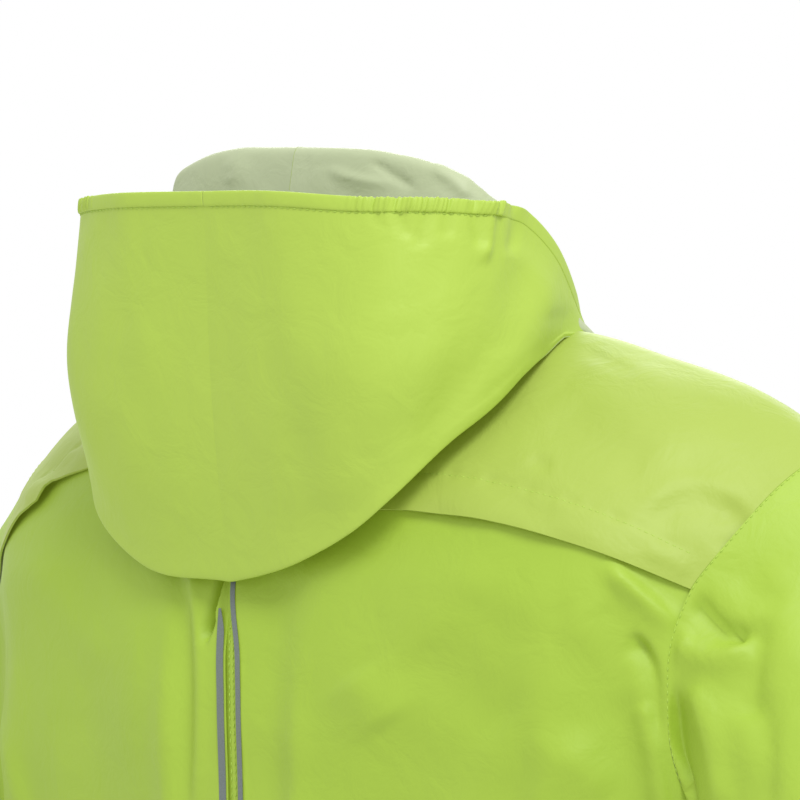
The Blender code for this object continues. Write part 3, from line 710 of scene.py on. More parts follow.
def coated_polyester(name, colour, deep, sheen=0.04, painted_glow="#bcd000"):
    """Shell cloth: even colour, small soft crumples, a grain finer than shows and a painted
    glow that lightens its shade.
    """
    material, tree, shader, place = finish(name)
    clouds = noise(tree, place, 14.0, 3.0, Roughness=0.5)
    crumple = noise(tree, place, 55.0, 4.0, Roughness=0.55, Distortion=0.6)
    # Threads lie about 0.2 mm apart; the grain is drawn at 0.6 mm so that it shows.
    grain = noise(tree, place, 1600.0, 1.0)
    soft = bump(tree, crumple, 0.22, 0.004)
    wire(
        tree,
        shader,
        Base_Color=two_tone(tree, clouds, deep, colour),
        Normal=bump(tree, grain, 0.05, 0.0002, Normal=soft),
        Roughness=0.55,
        Specular_IOR_Level=0.35,
        Sheen_Weight=sheen,
        Sheen_Roughness=0.45,
        Sheen_Tint=linear("#f4ffd0"),
        # Painted glow: a faint emission in the cloth's colour lightens its shade, standing in
        # for light that passes through the thin cloth and bounces between its folds.
        Emission_Color=linear(painted_glow),
        Emission_Strength=0.08,
    )
    return material


def reflective_film():
    """Grey glass-bead film: softly metallic, with a fine sparkle of beads."""
    material, tree, shader, place = finish("glass_bead_reflective_film")
    beads = two_tone(tree, noise(tree, place, 2500.0, 1.0), "#565f5b", "#767f7c")
    wire(tree, shader, Base_Color=beads, Roughness=0.45, Metallic=0.25)
    return material


def plain_finish(name, colour, darker, roughness, metallic=0.0, grain=900.0, relief=0.1):
    """Even finish with a fine grain: thread, moulded plastic, woven tape or paint."""
    material, tree, shader, place = finish(name)
    specks = noise(tree, place, grain, 2.0)
    tone = two_tone(tree, specks, darker, colour)
    skin = bump(tree, specks, relief, 0.0002)
    wire(tree, shader, Base_Color=tone, Normal=skin, Roughness=roughness, Metallic=metallic)
    return material


# Light polyester shell cloth with a clear coating: smooth and soft, with a faint sheen
# that pales it where it turns up to the light. Yoke and hood are the body's cloth, with
# their colour painted paler as painted light for the stronger light from above on the upper
# parts.
BODY_CLOTH = coated_polyester("coated_polyester_body", "#8faa3b", "#84a130")
YOKE_CLOTH_PAINTED_LIT = coated_polyester("coated_polyester_yoke_painted_paler", "#92a449", "#8a9e42")
HOOD_CLOTH_PAINTED_LIT = coated_polyester("coated_polyester_hood_painted_paler", "#9ab247", "#91ab40")
# The coating on the cloth's inner face is almost white, with the lime showing through. Its
# painted glow lightens its shade.
INNER = "coated_polyester_inner_face"
INSIDE = coated_polyester(INNER, "#a9b194", "#99a37e", sheen=0.1, painted_glow="#a0b070")
FILM = reflective_film()
THREAD = plain_finish("polyester_thread", "#a9c552", "#9ab845", 0.6)
ZIP_WEAVE = plain_finish("woven_polyester_zip_tape", "#23251f", "#121310", 0.85, relief=0.4)
ZIP_TEETH = plain_finish("moulded_acetal_teeth", "#2b2d28", "#1b1c19", 0.4)
ZIP_PAINT = plain_finish("painted_zinc", "#262724", "#171816", 0.35, metallic=0.4)

# -------- creases, given one by one

# In the photo's pixels. The broad ones of the hood are on both its halves.
YOKE_CREASES = crease_rows(
    (636, 524, 688, 480, 756, 512, 0.45, 0.4, 0.07),
    (640, 536, 692, 503, 746, 532, 0.45, 0.7, -0.11),
    (712, 496, 742, 526, 712, 562, 0.35, 0.8, -0.16),
    (530, 458, 541, 463, 553, 466, 0.3, 0.3, -0.09),
    (590, 350, 640, 400, 700, 470, 1.3, 1.6, 0.14),
    (560, 400, 600, 440, 660, 470, 1, 1.2, -0.1),
    (640, 545, 670, 560, 692, 572, 0.4, 0.4, 0.08),
    (470, 470, 520, 500, 560, 512, 0.5, 0.5, -0.05),
    (585, 345, 612, 366, 640, 372, 0.3, 0.3, -0.05),
    (30, 455, 60, 470, 84, 452, 0.4, 0.5, -0.08),
    (20, 505, 38, 490, 56, 494, 0.4, 0.4, 0.14),
)
BACK_RIGHT_CREASES = crease_rows(
    (600, 560, 650, 602, 700, 646, 0.3, 0.5, 0.42),
    (596, 600, 640, 634, 672, 668, 0.7, 0.6, -0.12),
    (626, 632, 656, 676, 658, 752, 0.22, 0.5, -0.6),
    (640, 700, 657, 752, 670, 860, 0.25, 0.5, 0.3),
    (560, 620, 600, 650, 640, 720, 1, 0.9, 0.18),
    (408, 640, 460, 690, 510, 740, 1.5, 1.5, -0.22),
    (350, 670, 370, 700, 390, 730, 1.1, 1.1, 0.22),
    (270, 540, 280, 680, 275, 860, 1.2, 1.2, -0.3),
    (520, 740, 570, 760, 610, 800, 0.9, 0.9, 0.16),
    (450, 560, 500, 600, 560, 610, 0.9, 0.9, 0.1),
)
BACK_LEFT_CREASES = crease_rows(
    (168, 545, 186, 640, 182, 860, 0.3, 0.6, -0.2),
    (180, 545, 197, 640, 195, 860, 0.35, 0.35, 0.15),
    (229, 546, 218, 596, 203, 646, 0.09, 0.2, -0.8),
    (229, 560, 222, 592, 214, 624, 0.12, 0.12, 0.2),
    (130, 600, 140, 680, 130, 790, 1, 1, 0.14),
    (60, 560, 80, 650, 70, 780, 1.2, 1.2, -0.16),
    (20, 545, 60, 600, 110, 680, 0.8, 0.8, 0.14),
)
SLEEVE_RIGHT_CREASES = crease_rows(
    (640, 600, 706, 654, 756, 632, 0.3, 0.75, 0.5),
    (757, 618, 754, 664, 740, 730, 0.45, 0.9, -0.35),
    (682, 584, 722, 630, 750, 634, 0.35, 0.22, -0.5),
    (666, 680, 678, 770, 690, 900, 0.6, 0.5, -0.55),
    (690, 680, 712, 740, 726, 830, 0.5, 0.6, 0.4),
    (750, 690, 765, 740, 760, 830, 0.5, 0.6, -0.26),
    (770, 560, 785, 620, 800, 680, 0.8, 0.8, 0.14),
    (740, 560, 760, 590, 790, 600, 0.5, 0.5, -0.12),
)
HOOD_CREASES = crease_rows(
    (488, 202, 488, 230, 482, 268, 0.18, 0.24, 0.26),
    (512, 204, 516, 228, 508, 258, 0.22, 0.25, -0.18),
    (392, 202, 402, 222, 410, 240, 0.2, 0.2, -0.16),
    (426, 202, 424, 226, 418, 250, 0.2, 0.2, -0.16),
    (448, 202, 448, 220, 446, 240, 0.18, 0.18, -0.12),
    (470, 202, 476, 226, 482, 250, 0.22, 0.22, -0.14),
    (372, 202, 376, 216, 384, 232, 0.18, 0.18, -0.1),
    (500, 240, 540, 280, 560, 320, 0.5, 0.5, 0.1),
    (430, 300, 440, 380, 400, 470, 1.6, 1.6, -0.07),
    (520, 340, 470, 400, 400, 480, 0.6, 0.6, 0.06),
)
BROAD_HOOD_CREASES = crease_rows(
    (300, 300, 330, 420, 320, 540, 2.2, 2.2, 0.08),
    (120, 300, 130, 420, 170, 530, 1.8, 1.8, 0.07),
)
ROLL_CREASES = crease_rows(
    (332, 166, 350, 178, 398, 186, 0.2, 0.2, 0.1),
    (372, 160, 392, 174, 420, 192, 0.2, 0.2, -0.1),
    (430, 168, 452, 180, 470, 200, 0.25, 0.25, 0.1),
    (230, 158, 240, 172, 236, 188, 0.4, 0.4, 0.08),
    (296, 152, 290, 170, 286, 190, 0.3, 0.3, -0.06),
    (468, 182, 482, 194, 492, 202, 0.2, 0.2, -0.08),
)
# In centimetres, x and z, for the sides that the photo doesn't show
HIDDEN_BACK_CREASES = crease_rows(
    (17.5, -15, 14, -20, 12.5, -28, 0.7, 0.9, 0.22),
    (19, -18, 16.5, -24, 15.5, -33, 0.5, 0.7, -0.24),
    (8, -30, 9, -42, 7, -55, 1.6, 1.6, 0.16),
    (14, -38, 12, -48, 14, -60, 1.2, 1.4, -0.18),
    (20, -40, 16, -50, 12, -66, 0.9, 1.2, 0.18),
    (4, -50, 5, -60, 4, -69, 0.9, 0.9, 0.14),
    (21, -28, 18, -31, 13, -32, 0.6, 0.6, 0.18),
)
FRONT_CREASES = crease_rows(
    (16.5, -11, 13, -17, 11.5, -27, 0.6, 0.9, 0.2),
    (17.5, -15, 15, -21, 14, -31, 0.5, 0.7, -0.24),
    (12, -6.5, 8, -11, 4, -14, 1, 0.8, 0.12),
    (3, -18, 4.5, -30, 3.5, -44, 0.9, 1.1, 0.14),
    (9, -26, 8, -40, 10, -56, 1.5, 1.5, -0.16),
    (15, -34, 12, -46, 6, -62, 1, 1.3, 0.2),
    (19, -38, 17, -50, 18, -64, 0.9, 1.1, -0.18),
    (21, -27, 17, -31, 12, -32.5, 0.6, 0.6, 0.18),
    (2, -50, 3, -58, 2.5, -67, 0.7, 0.9, 0.12),
)
# In centimetres, y and z, round each sleeve
SLEEVE_CREASES = crease_rows(
    (5.5, -22, 1.5, -27, -4.5, -29, 0.7, 0.9, 0.3),
    (6, -27, 2, -32, -4, -35, 0.6, 0.8, -0.28),
    (-6, -33, -1.5, -37.5, 3.5, -38, 0.6, 0.8, 0.34),
    (-6.5, -38, -2, -41.5, 3, -42.5, 0.5, 0.7, -0.34),
    (-6.5, -43, -3, -46, 2.5, -49, 0.6, 0.8, 0.3),
    (-7, -49, -4, -52, 1, -53, 0.5, 0.7, -0.22),
    (-8, -55, -5.5, -57.5, -0.5, -58, 0.5, 0.6, 0.22),
    (-9, -59.5, -6.5, -61, -1.5, -61.5, 0.4, 0.5, -0.18),
)
HIDDEN_HOOD_CREASES = crease_rows(
    (11, 2.5, 9.5, -1, 8, -5, 0.5, 0.7, 0.12),
    (8, 2.5, 8.5, -1, 9, -5, 0.5, 0.6, -0.1),
)

# -------- back, cape and fronts


def mirrored(vectors, side):
    """Vectors on the wearer's left (+1) or right (-1)."""
    return vectors * np.array((side, 1.0, 1.0))


def body_sheet(face, side, across, down):
    """Points and outward normals of one side of the body's form."""
    points = body_form(face, across, down)
    out = normals(points) * face
    return mirrored(points, side), mirrored(out, side)


def seam_groove(points, out, axis):
    """How a sheet sinks beside a sewn edge: its first row (0) or its last column (1)."""
    edge = points[:1] if axis == 0 else points[:, -1:]
    away = np.linalg.norm(points - edge, axis=-1)
    return -out * (SEAM_SINK * bell(away, SEAM_WIDTH))[..., None]


def hem_stitches(name, points, out, spare=0):
    """Stitches a hem's depth above a sheet's lower edge, clear of its ends."""
    line = points[::-1, points.shape[1] // 2]
    row = len(points) - 2 - int(np.searchsorted(run_along(line)[1:], HEM_DEPTH))
    keep = slice(spare, points.shape[1] - spare)
    stitches(name, points[row, keep], out[row, keep])


def back_recess(down):
    """How far the back lies under the cape; it comes out just below the cape's edge."""
    return UNDER_CAPE * (1 - ease(down, *CAPE_RELEASE))[:, None, None]


def centre_lean(down):
    """How far the pleat leans to the wearer's left below the cape; the hem hangs true."""
    return along(LEAN_STOPS, LEANS, down)


def pleat_closing(down):
    """How far the right edge of the pleat laps over the left one under the hood."""
    return PLEAT_CLOSING * (1 - ease(down, *CLOSING_ENDS))


def back_points(side, across, down):
    """Outer face of one back panel, before its creases, and its normals."""
    points, out = body_sheet(1, side, across, down)
    points = points - out * back_recess(down)
    points[..., 0] += side * PLEAT_EDGE * (1 - across) ** EDGE_FADE
    points[..., 0] += np.outer(centre_lean(down), (1 - across) ** 3)
    closing = np.outer(pleat_closing(down), bell(across, CLOSING_WIDTH))
    if side < 0:
        points[..., 0] += closing
    else:
        points = points - out * (CLOSING_SINK * closing)[..., None]
    return points, out


def cape_points():
    """Outer face of the cape, from the wearer's right to left, and its normals."""
    half = np.linspace(0, 1, BODY_ACROSS + 1)
    down = np.linspace(0, 1, CAPE_DOWN + 1)
    right = body_form(1, half, down)
    short = np.interp(half, CAPE_RISE_STOPS, CAPE_RISES)
    strips = [body_form(1, half[k : k + 1], down * (1 - short[k])) for k in range(len(half))]
    left = np.concatenate(strips, axis=1)
    points = np.concatenate((mirrored(right[:, :0:-1], -1), left), axis=1)
    across = np.concatenate((-half[:0:-1], half))
    lift = CAPE_LIFT * ease(down, *CAPE_LIFTS)[:, None] * (1 - np.abs(across) ** 8)
    points = points + normals(points) * lift[..., None]
    return points, normals(points), across, down


def cape():
    """Yoke cloth whose turned lower edge hangs free, stitched above the edge."""
    points, out, across, down = cape_points()
    points = points + photo_creases(points, out, YOKE_CREASES)
    down = down[:, None]
    hem = ease(down, CAPE_HEM_ROW - CAPE_HEM_TURN, CAPE_HEM_ROW + CAPE_HEM_TURN)
    row = bell(down - CAPE_HEM_ROW, CAPE_ROW_WIDTH)
    lift = CAPE_HEM_STEP * hem
    lift = lift - CAPE_ROW_SINK * row * (1 + waves(points[..., 0], CAPE_PUCKERS))
    lift = lift + ease(down, *CAPE_EDGE) * waves(points[..., 0], CAPE_EDGE_WAVES)
    lift = lift[..., None] + rumple(points, *YOKE_RUMPLE, seed=3)
    points = points + out * lift * (1 - np.abs(across) ** 12)[:, None]
    piece = sheet_piece(
        "cape", points, out, (YOKE_CLOTH_PAINTED_LIT, INSIDE), "back_yoke", HEM_SHELL
    )
    row_at = round(CAPE_HEM_ROW * CAPE_DOWN)
    stitches("cape_hem_stitches", points[row_at, 4:-4], out[row_at, 4:-4])


def back(side, name, creases):
    """One half of the back, from the seam under the cape to its turned hem."""
    across = places(*BACK_PLACES_ACROSS)
    down = places(*BACK_PLACES_DOWN)
    points, out = back_points(side, across, down)
    free = (1 - across**30) * ease(across, *BACK_FREE)
    hidden = plane_creases(mirrored(points, side), mirrored(out, side), HIDDEN_BACK_CREASES)
    lift = photo_creases(points, out, creases) + mirrored(hidden, side)
    lift = lift + out * rumple(points, *BODY_RUMPLE, seed=5 + side)
    points = points + lift * free[:, None] + seam_groove(points, out, 1)
    piece = sheet_piece(name + "_cloth", points, out, (BODY_CLOTH, INSIDE), name)
    trim = tape(side, name.replace("back", "tape"))
    hem_stitches(name + "_hem_stitches", points, out, HEM_SPARE)


def beside_centre(face, down, x, lift):
    """Points level with the edge of both halves at the centre line, lifted."""
    across = np.linspace(0, 1, BODY_ACROSS + 1)[:NEAR_CENTRE]
    points, out = body_sheet(face, 1, across, down)
    if face > 0:
        points = points - out * back_recess(down)
    points[..., 0] += (PLEAT_EDGE if face > 0 else ZIP_EDGE) * (1 - across) ** EDGE_FADE
    rows = []
    for row in points:
        y, z = (np.interp(np.abs(x), row[:, 0], row[:, k]) for k in (1, 2))
        rows.append(np.stack((x, y, z), axis=1))
    points = np.array(rows) + out[:, :1] * np.asarray(lift)[..., None]
    if face > 0:
        points[..., 0] += centre_lean(down)[:, None]
    return points


def pleat():
    """Underlay of the centre back pleat, behind the edges of both halves."""
    down = np.linspace(BACK_TOP, HEM[1], BODY_DOWN + 1)
    x = np.linspace(-PLEAT_UNDERLAY, PLEAT_UNDERLAY, 2 * PLEAT_MIDDLE + 1)
    tucked = PLEAT_LAP + PLEAT_TUCK * ease(np.abs(x), PLEAT_OPEN, PLEAT_UNDERLAY)
    points = beside_centre(1, down, x, -tucked)
    points[..., 1] += PLEAT_RIDGE * bell(x, PLEAT_RIDGE_WIDTH)
    out = normals(points)
    cloths = (BODY_CLOTH, INSIDE)
    piece = sheet_piece("pleat_underlay", points, out, cloths, "back_pleat")
    for label, k in (("left", PLEAT_MIDDLE + 1), ("right", PLEAT_MIDDLE - 1)):
        shown = slice(PLEAT_HIDDEN, None)
        stitches("pleat_stitches_" + label, points[shown, k], out[shown, k], STITCH_LIFT)


def tape(side, name):
    """Reflective tape along one edge of the centre back pleat."""
    top = TAPE_FROM[side]
    down = np.linspace(top, HEM[1], BODY_DOWN + 1)
    across = np.linspace(0, TAPE_WIDTHS[side], 7)
    x = (PLEAT_EDGE + TAPE_INSET[side] + across) * side
    points = beside_centre(1, down, x, TAPE_LIFT)
    if side < 0:
        points[..., 0] += pleat_closing(down)[:, None]
    else:
        cut = 1 - TAPE_CUT * (1 - ease(down, top - TAPE_POINT / 2, top + TAPE_POINT))
        tip = points[:, -1:]
        points = tip + (points - tip) * cut[:, None, None]
    out = normals(points) * side
    return sheet_piece(name + "_film", points, out, (FILM,), name, TAPE_SHELL)


def front(side, name):
    """One half of the front, from the neck and shoulder seams to its turned hem."""
    across = np.linspace(0, 1, BODY_ACROSS + 1)
    down = np.linspace(0.0, HEM[-1], BODY_DOWN + 1)
    points, out = body_sheet(-1, side, across, down)
    points[..., 0] += side * ZIP_EDGE * (1 - across) ** EDGE_FADE
    free = (1 - across**16) * ease(across, *FRONT_FREE) * ease(down, *NECK_FREE)[:, None]
    folds = plane_creases(mirrored(points, side), mirrored(out, side), FRONT_CREASES)
    lift = mirrored(folds, side) + out * rumple(points, *BODY_RUMPLE, seed=11 + side)
    groove = seam_groove(points, out, 1) + seam_groove(points, out, 0)
    points = points + lift * free[..., None] + groove
    piece = sheet_piece(name + "_cloth", points, out, (BODY_CLOTH, INSIDE), name)
    hem_stitches(name + "_hem_stitches", points, out, HEM_SPARE)
    k = round(ZIP_STITCHES * BODY_ACROSS)
    stitches(name + "_zip_stitches", points[4:-2, k], out[4:-2, k])


# -------- sleeves


def armhole(turns):
    """Points of the armhole seam at turns: 0 at the shoulder tip, 0.5 at the underarm."""
    back_down = np.linspace(0.0, UNDERARM[1], ARMHOLE_STEPS[1])
    front_down = np.linspace(UNDERARM[-1], 0.0, ARMHOLE_STEPS[-1])[1:-1]
    ways = ((1, back_down), (-1, front_down))
    loop = np.concatenate([body_form(face, np.ones(1), down)[:, 0] for face, down in ways])
    tip = int(loop[:, 2].argmax())
    loop = np.roll(loop, -tip, axis=0)
    loop = np.concatenate((loop, loop[:1]))
    run = run_along(loop)
    underarm = run[len(back_down) - 1 - tip]
    return between(turns, np.interp(run, (0.0, underarm, run[-1]), (0.0, 0.5, 1.0)), loop)


def ring_points(ring, turns):
    """Points of a sleeve ring, at the same turns as the armhole's."""
    angle = TURN * turns
    tilt = math.radians(ring.tilt)
    out = np.array((math.cos(tilt), 0.0, math.sin(tilt)))
    centre = np.array((ring.x, ring.y, ring.z))
    deep = np.outer(ring.deep * np.sin(angle), (0.0, 1.0, 0.0))
    return centre + np.outer(ring.out * np.cos(angle), out) + deep


def sleeve_form(turns, down):
    """Points of the sleeve: the cap reaches the first ring, the rings follow."""
    first, second = SLEEVE_RINGS[0], SLEEVE_RINGS[1]
    start = armhole(turns)
    end = ring_points(first, turns)
    low = 0.5 - 0.5 * np.cos(TURN * turns)
    slope = np.radians(CAP_TOP_SLOPE + (CAP_LOW_SLOPE - CAP_TOP_SLOPE) * low)
    inward = np.sin(TURN * turns) * (CAP_BULGE * ease(low, *CAP_LOW) - CAP_INWARD)
    leave = unit(np.stack((np.cos(slope), inward, -np.sin(slope)), axis=1))
    arrive = unit(ring_points(second, turns) - end)
    size = np.linalg.norm(end - start, axis=1, keepdims=True)
    cap = down[down < first.along] / first.along
    upper = hermite(start, end, leave * size * CAP_LEAVE, arrive * size, cap[:, None, None])
    keys = [ring.along for ring in SLEEVE_RINGS]
    rings = np.array([ring_points(ring, turns) for ring in SLEEVE_RINGS])
    return np.concatenate((upper, along(keys, rings, down[down >= first.along])))


def sleeve(side, name, creases):
    """Set-in sleeve: one tube from the armhole to the turned cuff."""
    turns = np.linspace(0, 1, SLEEVE_ROUND + 1)
    down = places(*SLEEVE_PLACES_DOWN)
    form = sleeve_form(turns[:-1], down)
    out = -normals(form, closed=True)
    points, out = (mirrored(np.concatenate((a, a[:, :1]), axis=1), side) for a in (form, out))
    outer = INNER_SHARE + (1 - INNER_SHARE) * ease(out[..., 0] * side, *OUTWARDS)
    lift = plane_creases(points, out, SLEEVE_CREASES, plane=(1, 2)) * outer[..., None]
    if creases:
        lift = lift * ease(-points[..., 2], *BELOW_PHOTO)[..., None]
        lift = lift + photo_creases(points, out, creases)
    lift = lift + out * rumple(points, *SLEEVE_RUMPLE, seed=21)
    free = ease(down, *SLEEVE_FREE)[:, None, None]
    points = points + lift * free + seam_groove(points, out, 0)
    piece = sheet_piece(
        name + "_cloth", points, out, (BODY_CLOTH, INSIDE), name, weld=True
    )
    seam = points[0] * (1 - SEAM_ROW) + points[1] * SEAM_ROW
    stitches(name + "_seam_stitches", seam, out[1], SEAM_STITCH_LIFT)
    hem_stitches(name + "_cuff_stitches", points, out)


# -------- hood


def neck_points(across):
    """Points of the neck seam at the hood's places across."""
    names = ("x_top", "y_top", "z_top")
    behind = columns(BACK_LINES, names, NECK_ACROSS * np.minimum(across / NECK_SIDE, 1))
    rest = np.clip((1 - across) / (1 - NECK_SIDE), 0, 1)
    before = columns(FRONT_LINES, names, NECK_ACROSS * rest)
    before[:, 0] += ZIP_EDGE * (1 - rest)
    points = np.where((across <= NECK_SIDE)[:, None], behind, before)
    return points + np.array((0.0, 0.0, NECK_GAP))


def hood_form(side, across, over):
    """Outer face of half of the hood: rows from the neck seam over to the face edge."""
    value = columns(HOOD_LINES, HOOD_LINES[0]._fields[1:], across)
    neck = neck_points(across)
    roll, fold, rim = value[:, 0:3], value[:, 3:6], value[:, 6:9]
    turn, belly = value[:, 9:10], value[:, 10:11]
    up = np.array((0.0, 0.0, 1.0))
    away = unit(fold * HOOD_AWAY)
    route = np.array(
        [
            neck,
            (neck + roll) / 2 - away * 0.1 * turn,
            roll - away * turn - up * turn * ROLL_DROP,
            roll,
            roll + away * turn - up * turn * ROLL_DROP,
            (roll + fold) / 2 - away * turn,
            fold - away * turn + up * turn * FOLD_RISE,
            fold,
            fold + away * turn * 0.5 + up * turn * WALL_RISE,
            (fold + rim) / 2 + away * belly,
            rim,
        ]
    )
    points = along(HOOD_STOPS, route, over)
    lean = side * ROLL_LEAN * (1 - ease(across, *ROLL_LEANS))
    points[..., 2] += lean * points[..., 0] * span(over, *ON_ROLL)[:, None]
    hang = side * FOLD_LEAN * span(across, *FOLD_LEANS)
    hang = hang + FOLD_END_DROP * bell(across - FOLD_END, FOLD_END_WIDTH)
    points[..., 2] -= np.outer(span(over, *ON_FOLD), hang)
    if side < 0:
        dip = RIM_DIP * bell(across - RIM_DIP_AT, RIM_DIP_WIDTH)
        points[..., 2] -= np.outer(ease(over, *UP_WALL), dip)
    out = normals(points)
    # On the wall, near the centre seam, outwards is to the back.
    wall = out[int(len(over) * ON_WALL), 4]
    out = out * np.sign(wall[1])
    return mirrored(points, side), mirrored(out, side)


def hood(side, name):
    """Half of the hood: up from the neck, over the roll, down and up to the face edge."""
    across = np.linspace(0, 1, HOOD_ACROSS + 1)
    over = places(*HOOD_PLACES)
    points, out = hood_form(side, across, over)
    wall = ease(over, *WALL_SHOWS)[:, None, None]
    roll = span(over, *ROLL_SHOWS)[:, None, None]
    if side < 0:
        lift = photo_creases(points, out, HOOD_CREASES + BROAD_HOOD_CREASES)
    else:
        lift = photo_creases(points, out, BROAD_HOOD_CREASES)
        lift = lift + plane_creases(points, out, HIDDEN_HOOD_CREASES, (1, 2))
    lift = (lift + out * rumple(points, *HOOD_RUMPLE, seed=31)) * wall
    lift = lift + photo_creases(points, -out, ROLL_CREASES, facing=False) * roll
    lift = lift - out * rumple(points, *ROLL_RUMPLE, seed=33) * roll
    groove = HOOD_SEAM_SINK * bell(across, HOOD_SEAM_WIDTH)
    points = points + lift * ease(across, *HOOD_FREE)[:, None] - out * groove[:, None]
    points = points - out * ROLL_PROUD * roll
    piece = sheet_piece(name + "_cloth", points, out, (HOOD_CLOTH_PAINTED_LIT, INSIDE), name)
    trim = casing(name, points, out, across)


def casing(hood_name, points, out, across):
    """Turned casing of the face edge with its elastic inside, gathered at the side."""
    rim = points[-1]
    rise = unit(points[-1] - points[-4])
    face = unit(np.cross(np.gradient(rim, axis=0), rise))
    face = face * np.sign((face * out[-1]).sum(axis=1, keepdims=True))
    fine = np.linspace(0, 1, CASING_ACROSS + 1)
    rim, rise, face = (between(fine, across, a) for a in (rim, rise, face))
    gathered = sum(span(fine, a, a + GATHER_END, b - GATHER_END, b) for a, b in GATHER_RUNS)
    slim = 1 - CASING_SLIM * ease(fine, CASING_TURN, CASING_TURN + CASING_SLIMS)
    knob = CASING_KNOB * bell(fine - CASING_TURN, CASING_KNOB_WIDTH)
    ripple = gathered * waves(run_along(rim), GATHERS)
    angles = np.linspace(0, TURN, CASING_ROUND + 1)
    section = np.stack((np.cos(angles), np.sin(angles)), axis=1)
    section = np.sign(section) * np.abs(section) ** CASING_SQUARE
    rings = []
    for high, deep in section:
        tall = CASING_GAP + CASING_WIDTH * (0.5 + 0.5 * high)
        thick = CASING_DEPTH / 2 * deep * (1 + 0.25 * gathered) * slim
        up = tall + ripple * 0.6 + knob * (0.5 + 0.5 * high)
        rings.append(rim + rise * up[:, None] + face * (thick + ripple + knob)[:, None])
    grid = np.array(rings)
    sideways = normals(grid)
    middle = grid[:-1].mean(axis=0)
    piece = cloth_sheet(
        hood_name.replace("hood", "face_edge_casing"),
        grid,
        (HOOD_CLOTH_PAINTED_LIT,),
        sideways * np.sign(((grid - middle) * sideways).sum()),
        weld=True,
        close=True,
    )
    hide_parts(hood_name.replace("hood", "hood_casing"))
    shown = slice(4, int(CASING_TURN * len(fine)) - 4)
    line = (rim - rise * CASING_ROW)[shown]
    stitches(hood_name + "_casing_stitches", line, face[shown], STITCH_LIFT)
    return piece


# -------- stitching


def axes(*ways):
    """Turn that lays X, Y and Z along three directions."""
    return Matrix(ways).transposed().to_4x4()


def stitches(name, path, out, lift=0.0):
    """Row of machine stitches along a path on the cloth, sunk a little into it."""
    run = run_along(path)
    size = Matrix.Diagonal((STITCH_LENGTH / 2, STITCH_THICK, STITCH_THICK, 1 / CM)) * CM
    bm = bmesh.new()
    for k in range(int(run[-1] / STITCH_PITCH)):
        ends = [(k + 0.5) * STITCH_PITCH + s * STITCH_LENGTH / 2 for s in (-1, 1)]
        a, b = (between(end, run, path) for end in ends)
        up = between(ends[0], run, out)
        lay = Vector(b - a).normalized()
        beside = Vector(up).normalized().cross(lay).normalized()
        turn = axes(lay, beside, lay.cross(beside))
        shift = Matrix.Translation(Vector((a + b) / 2 + up * lift) * CM)
        bmesh.ops.create_icosphere(bm, subdivisions=1, radius=1.0, matrix=shift @ turn @ size)
    add_piece(name, bm, (THREAD,))


# -------- zip

# Rounded blocks of the slider and the pull: low and high corner, and bevel
SLIDER_BLOCKS = (
    ((-0.42, -0.55, 0.08), (0.42, 0.57, 0.19), 0.04),
    ((-0.42, -0.55, -0.2), (0.42, 0.57, -0.12), 0.04),
    ((-0.1, 0.2, -0.14), (0.1, 0.5, 0.1), 0.02),
    ((-0.09, -0.3, 0.17), (0.09, 0.32, 0.33), 0.03),
)
PULL_BLOCKS = (
    ((-0.26, -1.15, -0.07), (0.26, 0.55, 0.07), 0.06),
    ((-0.26, 0.5, -0.06), (-0.14, 1.15, 0.06), 0.04),
    ((0.14, 0.5, -0.06), (0.26, 1.15, 0.06), 0.04),
    ((-0.26, 1.02, -0.06), (0.26, 1.16, 0.06), 0.04),
    ((-0.17, -1.00, 0.05), (0.17, 0.4, 0.09), 0.015),
)


def zip_line():
    """Points down the centre front from the zip's top, and the way up at each."""
    down = np.linspace(TEETH_FROM, HEM[-1] - 0.05, ZIP_STEPS)
    line = beside_centre(-1, down, np.zeros(1), 0.0)[:, 0]
    return line, -unit(np.gradient(line, axis=0))


def zip_tape(side, name):
    """Woven tape of the zip, behind the edge of one front."""
    down = np.linspace(0.04, HEM[-1], BODY_DOWN + 1)
    x = (ZIP_TAPE_EDGE + np.linspace(0, ZIP_TAPE_WIDTH, 9)) * side
    points = beside_centre(-1, down, x, ZIP_TAPE_LIFT)
    out = -normals(points) * side
    piece = sheet_piece(name + "_weave", points, out, (ZIP_WEAVE,), name)


def zip_chain():
    """Closed chain: moulded teeth from both sides, meshing along the centre front."""
    line, up = zip_line()
    run = run_along(line)
    size = Matrix.Diagonal((*TOOTH_SIZE, 1 / CM)) * CM
    bm = bmesh.new()
    for k in range(int(run[-1] / TOOTH_PITCH * 2)):
        at = k * TOOTH_PITCH / 2
        side = 1 if k % 2 else -1
        centre = Vector(between(at, run, line)) + RIGHT * side * TOOTH_ASIDE
        way_up = Vector(between(at, run, up)).normalized()
        turn = axes(RIGHT, way_up, RIGHT.cross(way_up))
        shift = Matrix.Translation(centre * CM)
        bmesh.ops.create_cube(bm, size=1.0, matrix=shift @ turn @ size)
    piece = add_piece("zip_teeth", bm, (ZIP_TEETH,))
    bevel = piece.modifiers.new("moulded_edges", "BEVEL")
    bevel.width = TOOTH_BEVEL * CM
    bevel.segments = 1
    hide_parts("zip_chain")


def block(bm, low, high, matrix, bevel):
    """Block between two corners, its edges rounded, laid by a matrix."""
    low, high = Vector(low), Vector(high)
    lay = Matrix.Translation((low + high) / 2) @ Matrix.Diagonal((*(high - low), 1.0))
    made = bmesh.ops.create_cube(bm, size=1.0, matrix=matrix @ lay)
    edges = list({e for v in made["verts"] for e in v.link_edges})
    bmesh.ops.bevel(
        bm, geom=edges, offset=bevel * CM, segments=2, profile=0.5, affect="EDGES", material=-1
    )


